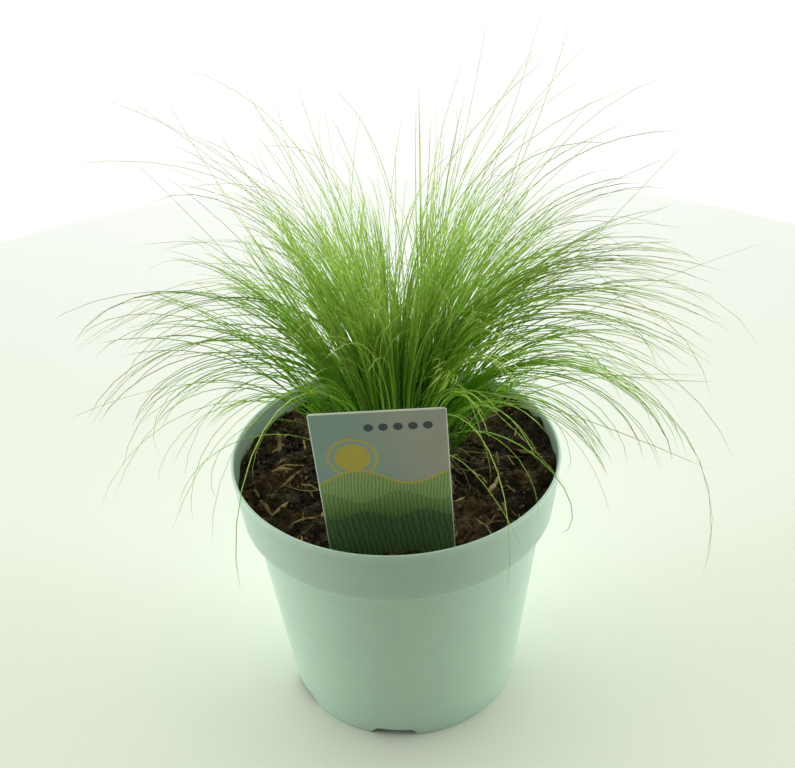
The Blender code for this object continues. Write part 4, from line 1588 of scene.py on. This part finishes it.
@dataclass
class Crown:
    """The fluted crown that the blades grow from, its leaf sheaths and the dry straws round it."""

    soil: PottingSoil
    radius: float = 27.6 * MM
    rise: float = 7.0 * MM
    shoulder: float = 2.0 * MM
    depth: float = 9.0 * MM
    flutes: int = 14
    flute_depth: float = 0.8 * MM
    rows: int = 14
    steps: int = 168
    sheaths: int = 420
    sheath_length: Spread = Spread(7.0 * MM, 26.0 * MM, 1.6)
    sheath_radius: Spread = Spread(0.35 * MM, 0.95 * MM, 1.5)
    sheath_taper: tuple[float, ...] = (1.0, 1.0, 0.95, 0.85, 0.7, 0.45, 0.1)
    dry_sheaths: float = 0.45
    straws: int = 110
    straw_steps: int = 9
    straw_reach: Spread = Spread(8.0 * MM, 38.0 * MM, 1.7)
    finish: Blade = Blade("grass_sheath", (
        (0.00, (0.060, 0.050, 0.022)),
        (0.35, (0.110, 0.120, 0.035)),
        (0.70, (0.090, 0.180, 0.020)),
        (1.00, (0.120, 0.260, 0.020)),
    ), (0.34, 0.26, 0.13), 0.6)

    def top(self, radius: Array) -> Array:
        """Height of the dome at a radius."""
        return self.soil.top + self.rise - (self.rise - self.shoulder) * (radius / self.radius) ** 2

    def dome(self) -> Surface:
        """Build the dome: rows out to the fluted rim, then down the side.

        Returns:
            The closed surface.
        """
        turn = TURN * np.arange(self.steps) / self.steps
        share = np.linspace(0.0, 1.0, self.rows + 1)[1:, None]
        flute = 1.0 + self.flute_depth / self.radius * np.cos(self.flutes * turn) * share ** 2
        out = self.radius * share * flute
        base = self.top(self.radius * share) - 0.6 * MM * share ** 8
        top = polar(out, turn[None], np.broadcast_to(base, out.shape))
        top[..., 2] += lattice_noise(top, 2.5 * MM, 31) * 0.35 * MM * (1.0 - share ** 4)
        bottom = self.soil.top - self.depth
        shares = np.array([1.0, 1.0, 0.98])
        heights = np.array([mix(bottom, base[-1, 0], 0.5), bottom + 0.4 * MM, bottom])
        side = polar(out[-1] * shares[:, None], turn, heights[:, None])
        whole = shut_rows(np.concatenate([top, side]), float(self.top(0.0)), bottom)
        rough = 0.5 + 0.5 * lattice_noise(whole.points, 1.8 * MM, 32)
        whole.values = {"along": 0.5 * rough, "tone": 0.5 + 0.6 * rough, "dry": 0.6 * rough}
        return whole

    def sheath_tubes(self) -> Surface:
        """Grow short split sheaths all over the dome, which lean outwards more towards its rim.

        Returns:
            All the sheaths.
        """
        rng = default_rng(31)
        count = self.sheaths
        radius = (self.radius - 1.0 * MM) * np.sqrt(rng.random(count))
        turn = rng.random(count) * TURN
        lean = np.radians(3.0 + 20.0 * radius / self.radius + rng.normal(0.0, 5.0, count))
        length = self.sheath_length.draw(rng, count)
        taper = np.array(self.sheath_taper)
        share = np.linspace(0.0, 1.0, len(taper))
        out = radius[:, None] + np.sin(lean)[:, None] * length[:, None] * share
        height = self.top(radius)[:, None] - 1.5 * MM + np.cos(lean)[:, None] * length[:, None] * share
        bow = rng.normal(0.0, 0.05, (count, 1)) * share ** 2
        paths = polar(out, turn[:, None] + bow, height)
        radii = self.sheath_radius.draw(rng, (count, 1)) * taper
        dead = rng.random(count) < self.dry_sheaths
        dry = np.where(dead, rng.uniform(0.4, 1.0, count), rng.uniform(0.0, 0.3, count))
        along = np.broadcast_to(share, radii.shape)
        return tubes(paths, radii, 5, {"along": along, "tone": rng.uniform(0.6, 1.25, count), "dry": dry})

    def straw_tubes(self) -> Surface:
        """Lay dead straws that fan out from under the crown's rim and sag onto the soil.

        Returns:
            All the straws.
        """
        rng = default_rng(32)
        count = self.straws
        turn = rng.random(count) * TURN
        reach = self.straw_reach.draw(rng, count)
        share = np.linspace(0.0, 1.0, self.straw_steps)
        radius = self.radius - 3.0 * MM + reach[:, None] * share
        angle = turn[:, None] + rng.normal(0.0, 0.35, (count, 1)) * share ** 1.5
        radius = np.minimum(radius, float(self.soil.pot.wall_radius(self.soil.top)) - 3.0 * MM)
        flat = polar(radius, angle, np.zeros_like(radius))
        rest = self.soil.surface_height(flat[..., 0], flat[..., 1]) + 0.5 * MM
        lift = rng.uniform(1.0, 7.0, (count, 1)) * MM * np.sin(math.pi * np.minimum(1.0, share * 0.9 + 0.25))
        start = float(self.top(self.radius))
        flat[..., 2] = np.maximum(mix(start, rest, smooth_step(0.0, 0.6, share)) + lift, rest)
        radii = rng.uniform(0.22, 0.55, (count, 1)) * MM * (1.0 - 0.7 * share ** 2)
        values = {
            "along": np.broadcast_to(share, radii.shape),
            "tone": rng.uniform(0.55, 1.45, count),
            "dry": rng.uniform(0.7, 1.0, count),
        }
        return tubes(flat, radii, 4, values)

    def build(self) -> None:
        """Put the dome and its sheaths in place of the model's crown, and lay the straws."""
        material = self.finish.material()
        whole = Surface.join([self.dome(), self.sheath_tubes()])
        add_piece("crown_sheaths", whole.mesh("crown_sheaths"), material, Slot.BASE, "crown")
        add_piece("crown_straws", self.straw_tubes().mesh("crown_straws"), material, Slot.BASE)


@dataclass
class FeatherGrass:
    """The tuft: fifty-four locks of thin blades on a crown, and single blades that stray from it."""

    crown: Crown
    label: PlantLabel
    rings: tuple[Ring, ...] = (
        Ring("skirt", 14, 23.4 * MM, 17.0, 150.0, 9.0, 1.45, 222.0 * MM, 7.2 * MM, 17.0 * MM,
             Growth(7, 1.05, 0.95, 1.3, 0.75, 0.15, 0.2, 0.0, 0.40)),
        Ring("outer", 14, 18.2 * MM, 12.5, 92.0, 5.0, 1.60, 208.0 * MM, 6.2 * MM, 16.0 * MM,
             Growth(29, 1.7, 1.05, 1.0, 0.9, 0.9, 0.8, -10.0)),
        Ring("middle", 12, 13.0 * MM, 9.5, 62.0, 4.0, 1.30, 212.0 * MM, 5.4 * MM, 14.0 * MM,
             Growth(34, 1.05, 0.95, 0.9, 0.8, 0.0, 0.0, -20.0)),
        Ring("inner", 8, 8.0 * MM, 6.5, 44.0, 3.0, 1.30, 221.0 * MM, 4.4 * MM, 11.0 * MM,
             Growth(38, 0.8, 0.95, 1.15, 0.75, 0.57, 0.0, 25.0)),
        Ring("heart", 6, 3.4 * MM, 3.5, 23.0, 2.0, 1.20, 227.0 * MM, 2.6 * MM, 7.0 * MM,
             Growth(18, 1.2, 1.2, 1.0, 0.7, 0.2, 0.0, 65.0)),
    )
    bundles: tuple[Bundle, ...] = (
        Bundle("right_level", 20, -40.0, 17.0, 7.0, 105.0, 1.8, 210.0, 10.0),
        Bundle("right_over", 4, 60.0, 20.0, 26.0, 115.0, 0.8, 210.0, -35.0),
        Bundle("right_front", 16, -45.0, 6.0, 16.0, 125.0, 1.8, 220.0, 10.0),
        Bundle("right_long", 6, -40.0, 5.0, 4.0, 100.0, 1.2, 250.0, 0.0),
        Bundle("right_low", 16, -20.0, 8.0, 22.0, 160.0, 1.6, 180.0, -6.0),
        Bundle("left_level", 14, 155.0, 4.0, 4.0, 65.0, 1.4, 155.0, -6.0),
        Bundle("left_over", 3, 110.0, 14.0, 30.0, 125.0, 0.9, 230.0, 43.0),
        Bundle("left_front", 4, -135.0, 5.0, 23.0, 135.0, 2.4, 185.0, -7.0),
        Bundle("left_low", 9, -175.0, 11.0, 2.0, 150.0, 1.1, 200.0, 3.0),
        Bundle("left_inner", 5, 125.0, 4.0, 18.0, 100.0, 0.8, 165.0, 43.0),
        Bundle("top_right", 14, -40.0, 20.0, 1.0, 5.0, 1.3, 195.0, 0.0),
        Bundle("right_high", 10, 50.0, 17.0, 13.0, 40.0, 1.8, 160.0, 0.0),
        Bundle("right_rear", 14, 40.0, 22.0, 8.0, 70.0, 2.3, 160.0, 0.0),
        Bundle("right_up", 8, 10.0, 15.0, 8.0, 95.0, 2.0, 190.0, 1.0),
        Bundle("left_rear", 16, 140.0, 6.0, 5.0, 80.0, 1.8, 165.0, 8.0),
        Bundle("left_mid", 4, 185.0, 15.0, 1.0, 85.0, 2.0, 150.0, 0.0),
        Bundle("left_up", 14, 95.0, 8.0, 30.0, 40.0, 1.4, 150.0, 12.0),
        Bundle("left_side", 5, 200.0, 4.0, 4.0, 130.0, 1.6, 190.0, 2.0),
        Bundle("left_top", 10, 110.0, 8.0, 12.0, 55.0, 1.5, 170.0, 8.0),
        Bundle("right_hook", 8, -45.0, 23.0, 8.0, 170.0, 1.7, 155.0, 10.0),
        Bundle("right_foot", 26, 0.0, 25.0, 30.0, 60.0, 1.0, 80.0, 12.0),
    )
    fans: tuple[Fan, ...] = (
        Fan("left_hanging", 10, (-150.0, -105.0), (4.0, 19.0), (3.0, 18.0), (120.0, 185.0),
            (1.1, 2.0), (160.0, 220.0), (-2.0, 8.0)),
        Fan("right_hanging", 9, (-95.0, -45.0), (3.0, 11.0), (2.0, 12.0), (95.0, 145.0), (1.1, 1.9),
            (180.0, 215.0), (0.0, 45.0)),
        Fan("rear_hanging", 9, (0.0, 58.0), (18.0, 25.0), (12.0, 34.0), (110.0, 205.0), (0.9, 2.6),
            (165.0, 215.0), (-42.0, -12.0)),
        Fan("soil_right", 5, (-68.0, -38.0), (5.0, 20.0), (5.0, 40.0), (140.0, 235.0), (1.4, 2.8),
            (105.0, 165.0), (-28.0, 10.0)),
        Fan("soil_left", 7, (-168.0, -125.0), (4.0, 16.0), (18.0, 42.0), (130.0, 225.0), (1.5, 2.8),
            (115.0, 190.0), (0.0, 10.0)),
        Fan("upper_left", 16, (90.0, 118.0), (5.0, 25.0), (7.0, 45.0), (25.0, 120.0), (0.8, 2.5),
            (170.0, 235.0), (28.0, 46.0)),
        Fan("upper_right", 16, (28.0, 80.0), (5.0, 25.0), (5.0, 40.0), (20.0, 105.0), (1.0, 2.6),
            (170.0, 235.0), (-45.0, 25.0)),
        Fan("upper_front", 10, (-75.0, -40.0), (4.0, 12.0), (2.0, 12.0), (45.0, 110.0), (1.3, 2.2),
            (190.0, 240.0), (30.0, 46.0)),
        Fan("all_round", 60, (0.0, 360.0), (4.0, 25.0), (4.0, 30.0), (65.0, 150.0), (1.1, 2.4),
            (130.0, 225.0), (-20.0, 20.0)),
    )
    strands: int = 3
    fewest: int = 6
    strand_sides: float = 0.8
    side_scatter: Scatter = Scatter(0.12, 0.16)
    droop_scatter: Scatter = Scatter(6.0, 2.0, 13.0)
    lift_scatter: Scatter = Scatter(2.2 * MM, 0.8 * MM)
    swirl_scatter: Scatter = Scatter(3.5, 0.8, 10.0)
    lean_scatter: float = 1.0
    strand_reach: Pair = (0.8, 1.0)
    strand_foot: float = 2.8
    blade_foot: float = 0.9
    foot_lean: float = 1.2
    strand_bend: Pair = (0.92, 1.13)
    blade_bend: Pair = (0.97, 1.03)
    hair_side: float = 1.6
    hair_reach: Pair = (0.60, 1.0)
    fade: float = 0.09
    spread: float = 0.95
    parted_at: float = 90.0
    reach: Point = (192.0 * MM, 166.0 * MM, 380.0 * MM)
    right_reach: float = 0.05
    right_droop: float = 0.08
    parting_azimuth: float = 65.0
    parting: float = 8.0
    rear_reach: float = 0.84
    front_reach: float = 0.98
    front_azimuth: float = -97.0
    front_span: Pair = (0.62, 0.90)
    front_scatter: float = 2.0
    front_lean: float = 0.50
    front_end_lean: float = 0.62
    front_bend: float = 1.6
    azimuth_scatter: float = 2.0
    length_scatter: float = 0.04
    swirl: float = 5.0
    tip_lift: float = 7.0 * MM
    seed: int = 2
    blade_seed: int = 55
    sunk: float = 2.0 * MM
    rim_room: float = 0.8 * MM
    steps: int = 16
    blade_radius: float = 0.36 * MM
    hair_radius: float = 0.25 * MM
    thinning: float = 0.58
    thin_from: float = 0.40
    usual_length: float = 190.0 * MM
    blade_dryness: float = 0.10
    hair_dryness: float = 0.35
    dead_share: float = 0.02
    finish: Blade = Blade()

    def foot(self, radius: Array) -> Array:
        """Height at which a blade starts, sunk a little into the crown."""
        return self.crown.top(radius) - self.sunk

    def locks(self) -> list[Lock]:
        """Lay out the locks by the model's own rule and with the same random numbers.

        Returns:
            The locks, ring by ring.
        """
        rng = random.Random(self.seed)
        found = []
        for ring in self.rings:
            for index in range(ring.count):
                azimuth = self.front_azimuth + 360.0 / ring.count * (index + 0.5)
                azimuth += rng.uniform(-1, 1) * self.azimuth_scatter
                away = math.cos(math.radians(azimuth - self.front_azimuth))
                front = float(smooth_step(*self.front_span, away))
                rear = max(0.0, math.sin(math.radians(azimuth)))
                right = math.cos(math.radians(azimuth))
                end_lean = ring.end_lean * (1.0 + self.right_droop * right)
                end_lean = end_lean * mix(1.0, self.front_end_lean, front)
                end_lean += rng.uniform(-1, 1) * mix(ring.droop_scatter, self.front_scatter, front)
                reach = mix(1.0, self.rear_reach, rear * rear) * mix(1.0, self.front_reach, max(0.0, away))
                reach *= 1.0 + self.right_reach * right
                length = ring.length * reach * (1.0 + rng.uniform(-1, 1) * self.length_scatter)
                off = math.radians(azimuth - self.parting_azimuth)
                swirl = rng.uniform(-1, 1) * self.swirl
                if math.cos(off) > 0.0:
                    swirl += self.parting * math.sin(2.0 * off)
                # The model's locks draw the lengths of their two side tips here. The blades don't need them.
                rng.random()
                rng.random()
                lifts = (rng.uniform(-1, 1), 0.0, rng.uniform(-1, 1))
                lean = ring.lean * mix(1.0, self.front_lean, front)
                bend = mix(ring.bend, self.front_bend, front)
                found.append(Lock(ring, index, azimuth, lean, end_lean, bend, length, swirl, lifts))
        return found

    def lock_blades(self, lock: Lock, rng: Generator) -> Blades:
        """Draw a lock's blades: a few strands that keep together, and free blades between them.

        Args:
            lock: The lock that they follow.
            rng: Random numbers.

        Returns:
            The blades.
        """
        ring, growth = lock.ring, lock.ring.growth
        turn = math.radians(lock.azimuth)
        share = 1.0 - growth.side_thinning * math.cos(turn) ** 2
        share *= 1.0 - growth.rear_thinning * max(0.0, math.sin(turn)) ** 2
        count = max(self.fewest, round(growth.blades * share))
        strand = rng.integers(0, self.strands, count)
        hair = rng.random(count) < growth.hairs

        def shared(low: float, high: float) -> Array:
            """One even number for each strand, given to its blades."""
            return rng.uniform(low, high, self.strands)[strand]

        def scattered(by: Scatter) -> Array:
            """A normal number for each strand, plus one for each blade and, if asked for, one for a hair."""
            both = rng.normal(0.0, by.strand, self.strands)[strand] + rng.normal(0.0, by.blade, count)
            return both + hair * rng.normal(0.0, by.hair, count) if by.hair else both

        side = np.linspace(-self.strand_sides, self.strand_sides, self.strands)[strand]
        side = side + scattered(self.side_scatter)
        side = np.where(hair, rng.uniform(-self.hair_side, self.hair_side, count), side)
        droop = scattered(self.droop_scatter)
        reach = shared(*self.strand_reach) * (1.0 - self.fade * rng.random(count))
        reach = np.where(hair, rng.uniform(*self.hair_reach, count), growth.reach * reach)
        lift = np.interp(side, (-1.0, 0.0, 1.0), lock.tip_lifts) * self.tip_lift * 0.5
        lift = lift + scattered(self.lift_scatter)
        parting = growth.parting * math.sin(2.0 * (turn - math.radians(self.parted_at)))
        swirl = lock.swirl + parting + scattered(self.swirl_scatter)
        off = shared(-self.strand_foot, self.strand_foot)
        off = off + rng.uniform(-self.blade_foot, self.blade_foot, count) * (1.0 + 2.0 * hair)
        radius = np.minimum(np.abs(ring.radius + off * MM), self.crown.radius - self.rim_room)
        bend = shared(*self.strand_bend) * rng.uniform(*self.blade_bend, count)
        return Blades(
            azimuth=np.full(count, lock.azimuth), radius=radius, height=self.foot(radius),
            lean=lock.lean * growth.lean + off * self.foot_lean + rng.normal(0.0, self.lean_scatter, count),
            end_lean=lock.end_lean * growth.droop + droop,
            bend=lock.bend * growth.bend * bend,
            length=lock.length * reach, swirl=swirl, side=side, width=np.full(count, ring.width * 1.15),
            spread=np.full(count, ring.spread * self.spread), lift=lift,
            wave=rng.gamma(2.0, 1.0, count) * (0.5 + hair) * MM,
            phase=rng.random(count) * TURN, hair=hair)

    def bundle_blades(self, bundle: Bundle, rng: Generator) -> Blades:
        """Draw a bundle's blades, close together and of uneven length.

        Args:
            bundle: The bundle that they follow.
            rng: Random numbers.

        Returns:
            The blades.
        """
        count = bundle.blades
        radius = np.abs(bundle.radius + rng.normal(0.0, 1.2, count)) * MM
        radius = np.minimum(radius, self.crown.radius - self.rim_room)
        return Blades(
            azimuth=np.full(count, bundle.azimuth), radius=radius, height=self.foot(radius),
            lean=bundle.lean + rng.normal(0.0, 0.7, count),
            end_lean=bundle.end_lean + rng.normal(0.0, 4.0, count),
            bend=bundle.bend * rng.uniform(0.94, 1.06, count),
            length=bundle.length * MM * (1.04 - 0.30 * rng.random(count) ** 1.5),
            swirl=bundle.swirl + rng.normal(0.0, 1.4, count), side=rng.normal(0.0, 0.42, count),
            width=np.full(count, 6.0 * MM), spread=np.full(count, 7.0 * MM),
            lift=rng.normal(0.0, 1.1, count) * MM, wave=rng.gamma(2.0, 0.8, count) * MM,
            phase=rng.random(count) * TURN, hair=rng.random(count) < 0.1)

    def fan_blades(self, fan: Fan, rng: Generator) -> Blades:
        """Draw a fan's blades, three times as many as it keeps, each number even between the fan's two ends.

        Args:
            fan: The fan.
            rng: Random numbers.

        Returns:
            The blades.
        """
        count = 3 * fan.blades
        none = np.zeros(count)
        radius = rng.uniform(*fan.radius, count) * MM
        return Blades(
            azimuth=rng.uniform(*fan.azimuth, count), radius=radius, height=self.foot(radius),
            lean=rng.uniform(*fan.lean, count), end_lean=rng.uniform(*fan.end_lean, count),
            bend=rng.uniform(*fan.bend, count), length=rng.uniform(*fan.length, count) * MM,
            swirl=rng.uniform(*fan.swirl, count), side=none, width=none, spread=none, lift=none,
            wave=rng.gamma(2.0, 1.3, count) * MM, phase=rng.random(count) * TURN,
            hair=rng.random(count) < 0.7)

    def clear_of_pot(self, paths: Array) -> Array:
        """Whether each blade stays off the pot's wall and the soil past the crown, and in the model's box.

        Args:
            paths: Places, shaped blade, step, xyz.

        Returns:
            True for a blade with no point against the wall, in the soil or far out.
        """
        x, y, z = np.moveaxis(paths, -1, 0)
        radius = np.hypot(x, y)
        soil = self.crown.soil
        pot = soil.pot
        off_wall = pot.rim_radius - 4.0 * MM
        in_wall = (radius > off_wall) & (radius < pot.rim_radius + 1.5 * MM) & (z < pot.height + 1.0 * MM)
        beside = (radius <= off_wall) & (radius > self.crown.radius) & (z < soil.top + 5.0 * MM)
        low = z < 3.0 * MM
        x_reach, y_reach, top = self.reach
        far = (np.abs(x) > x_reach) | (np.abs(y) > y_reach) | (z > top)
        return ~np.any(in_wall | beside | low | far, axis=1)

    def clear_of_label(self, paths: Array) -> Array:
        """Whether each blade stays off the label and doesn't hang before it.

        Args:
            paths: Places, shaped blade, step, xyz.

        Returns:
            True for a blade whose every point is behind the card or above the slope that rises forward
            from the card's top edge.
        """
        x, y, z = np.moveaxis(paths, -1, 0)
        label = self.label
        over = np.abs(x - label.x) <= 0.5 * label.width + 4.0 * MM
        ahead = label.y + 3.0 * MM + (label.top - z) * math.tan(math.radians(label.tilt))
        slope = label.top + 2.0 * MM + (label.y - y) * 0.70
        return ~np.any(over & (y < ahead) & (z < slope), axis=1)

    def blade_surface(self, paths: Array, hair: Array, rng: Generator) -> Surface:
        """Give paths their thickness and colour numbers.

        A blade keeps its radius to two fifths of its length, then thins to a point. Hairs are thinner and
        drier, and one blade in fifty is dead.

        Args:
            paths: Places, shaped blade, step, xyz.
            hair: Which blades are hairs.
            rng: Random numbers.

        Returns:
            The blades as closed three-sided tubes.
        """
        count, points = paths.shape[:2]
        share = np.linspace(0.0, 1.0, points)[None]
        thin = 1.0 - self.thinning * smooth_step(self.thin_from, 1.0, share)
        base = np.where(hair, self.hair_radius, self.blade_radius)[:, None]
        radii = base * thin * rng.uniform(0.80, 1.15, (count, 1))
        hair_dry = rng.uniform(0.0, self.hair_dryness, count)
        dry = np.where(hair, hair_dry, rng.uniform(0.0, self.blade_dryness, count))
        dead = rng.random(count) < self.dead_share
        dry = np.where(dead, rng.uniform(0.6, 1.0, count), dry)
        length = np.linalg.norm(np.diff(paths, axis=1), axis=-1).sum(axis=1)
        along = share * np.clip(length / self.usual_length, 0.75, 1.1)[:, None]
        dry_tip = dry[:, None] + 0.40 * smooth_step(0.80, 1.05, along) * rng.random((count, 1))
        values = {"along": along, "tone": rng.uniform(0.72, 1.28, count), "dry": np.clip(dry_tip, 0.0, 1.0)}
        return tubes(paths, radii, 3, values)

    def build(self) -> None:
        """Grow every lock in place of its node, then the bundles and fans that stand for no node."""
        material = self.finish.material()
        for lock in self.locks():
            rng = default_rng([self.blade_seed, len(lock.node), lock.index, lock.ring.count])
            blades = self.lock_blades(lock, rng)
            paths = blades.paths(self.steps)
            kept = self.clear_of_label(paths)
            surface = self.blade_surface(paths[kept], blades.hair[kept], rng)
            name = f"{lock.ring.name}_blades_{lock.index + 1:02d}"
            add_piece(name, surface.mesh(name), material, Slot.GRASS, lock.node)
        for index, bundle in enumerate(self.bundles):
            rng = default_rng([self.blade_seed, 100 + index])
            blades = self.bundle_blades(bundle, rng)
            self.add_loose(f"{bundle.name}_bundle", blades, bundle.blades, material, rng)
        for index, fan in enumerate(self.fans):
            rng = default_rng([self.blade_seed, 200 + index])
            blades = self.fan_blades(fan, rng)
            self.add_loose(f"{fan.name}_strays", blades, fan.blades, material, rng)

    def add_loose(self, name: str, blades: Blades, most: int, material: Material,
                  rng: Generator) -> None:
        """Add blades that stand for no node, without those that would cross the pot, soil or label.

        Args:
            name: The piece's name.
            blades: The blades.
            most: How many are kept at most.
            material: Their material.
            rng: Random numbers.
        """
        paths = blades.paths(self.steps)
        kept = np.flatnonzero(self.clear_of_label(paths) & self.clear_of_pot(paths))[:most]
        surface = self.blade_surface(paths[kept], blades.hair[kept], rng)
        add_piece(name, surface.mesh(name), material, Slot.GRASS)


@dataclass
class Studio:
    """The pale floor, the soft light and the camera."""

    eye: Point = (0.0, -433.048 * MM, 452.364 * MM)
    pitch: float = 31.870
    yaw: float = 0.338
    roll: float = -2.594
    focal_pixels: float = 1025.925
    floor_centre: Point = (-23.0 * MM, 134.0 * MM, 0.0)
    floor_radius: float = 0.645
    floor_thickness: float = 0.020
    floor_round: float = 0.002
    floor_steps: int = 192
    # Floor colours from front to back: the rise towards the back is painted light and shade.
    floor_shade_stops: tuple[tuple[float, Colour], ...] = (
        (0.00, (0.780, 0.830, 0.690)),
        (0.12, (0.825, 0.860, 0.765)),
        (0.30, (0.818, 0.855, 0.762)),
        (0.54, (0.853, 0.885, 0.818)),
        (1.00, (0.920, 0.935, 0.910)),
    )
    light_behind: float = 4.0
    light_above: float = 0.98
    backdrop: float = 1.02
    sensor: float = 36.0

    def camera(self) -> None:
        """Stand the camera where the photograph was taken from."""
        data = bpy.data.cameras.new("camera")
        data.sensor_fit = "HORIZONTAL"
        data.sensor_width = self.sensor
        data.lens = self.focal_pixels / IMAGE_WIDTH * self.sensor
        data.clip_start = 0.01
        data.clip_end = 50.0
        pitch, yaw, roll = (math.radians(a) for a in (self.pitch, self.yaw, self.roll))
        ahead = np.array([math.sin(yaw) * math.cos(pitch), math.cos(yaw) * math.cos(pitch), -math.sin(pitch)])
        right = unit(np.cross(ahead, [0.0, 0.0, 1.0]))
        up = np.cross(right, ahead)
        x = right * math.cos(roll) + up * math.sin(roll)
        y = up * math.cos(roll) - right * math.sin(roll)
        columns = np.stack([x, y, -ahead, np.array(self.eye)], axis=1)
        obj = bpy.data.objects.new("camera", data)
        obj.matrix_world = Matrix([*columns.tolist(), [0.0, 0.0, 0.0, 1.0]])
        bpy.context.scene.collection.objects.link(obj)
        bpy.context.scene.camera = obj

    def floor(self) -> None:
        """A round pale floor, slightly green, 1.29 m across, coloured darker towards the front and lighter
        towards the back as painted light and shade.
        """
        turn = TURN * np.arange(self.floor_steps) / self.floor_steps
        edge, low, bend = self.floor_radius, -self.floor_thickness, self.floor_round
        rows = np.array([
            (0.2, 0.0),
            (0.5, 0.0),
            (edge - 2.0 * bend, 0.0),
            (edge - bend, 0.0),
            (edge, -bend),
            (edge, low + bend),
            (edge - 2.5 * bend, low),
        ])
        disc = shut_rows(polar(rows[:, :1], turn[None], rows[:, 1:]), 0.0, low)
        disc.points = disc.points + np.array(self.floor_centre)
        mesh = disc.mesh("floor")
        material, graph, shader = principled("pale_floor")
        tone = uneven(graph, 3.0, 0.02)
        place = graph.add("SeparateXYZ", {0: graph.place()})
        aside = graph.math("MULTIPLY", graph.math("ABSOLUTE", place.outputs["X"]), 0.5)
        away = graph.math("SUBTRACT", place.outputs["Y"], aside)
        # Painted light and shade: the floor's colour lightens from the front to the back.
        colour = graph.ramp(graph.between(away, -0.20, 0.78), self.floor_shade_stops)
        colour = toned(graph, colour, tone.outputs["Tone"])
        graph.feed(shader, {"Base Color": colour, "Roughness": 0.7, "Specular IOR Level": 0.0})
        obj = bpy.data.objects.new("floor", mesh)
        mesh.materials.append(material)
        bpy.context.scene.collection.objects.link(obj)

    def world(self) -> None:
        """Soft light from all round, bright behind and above and dim in front."""
        world = bpy.data.worlds.new("studio")
        bpy.context.scene.world = world
        world.use_nodes = True
        graph = Graph(world.node_tree)
        background = world.node_tree.nodes["Background"]
        way = graph.add("SeparateXYZ", {0: graph.add("TexCoord").outputs["Generated"]})
        behind = graph.between(way.outputs["Y"], -0.48, 0.0, 0.0, self.light_behind)
        low = graph.math("MULTIPLY", behind, graph.between(way.outputs["Z"], 0.60, 0.30))
        high = graph.between(way.outputs["Y"], -0.80, -0.10, 0.0, self.light_above)
        strength = graph.math("MAXIMUM", low, high)
        seen = graph.add("LightPath").outputs["Is Camera Ray"]
        lit = graph.math("MULTIPLY", strength, graph.math("SUBTRACT", 1.0, seen))
        shown = graph.math("ADD", lit, graph.math("MULTIPLY", seen, self.backdrop))
        graph.feed(background, {"Color": (0.99, 1.0, 0.98, 1.0), "Strength": shown})

    def build(self) -> None:
        """Set the camera, floor, world and the plain colour transform."""
        self.camera()
        self.floor()
        self.world()
        bpy.context.scene.view_settings.view_transform = "Standard"


def corners(box: tuple) -> list[list[float]]:
    """A box's two corners as plain lists."""
    return [list(map(float, corner)) for corner in box]


def main() -> None:
    """Build every piece in order."""
    logging.basicConfig(level=logging.INFO, format="%(name)s %(message)s")
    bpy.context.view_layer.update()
    Studio().build()
    pot = NurseryPot()
    pot.build()
    soil = PottingSoil(pot)
    soil.build()
    label = PlantLabel()
    label.build()
    crown = Crown(soil)
    crown.build()
    FeatherGrass(crown, label).build()


if __name__ == "__main__":
    main()
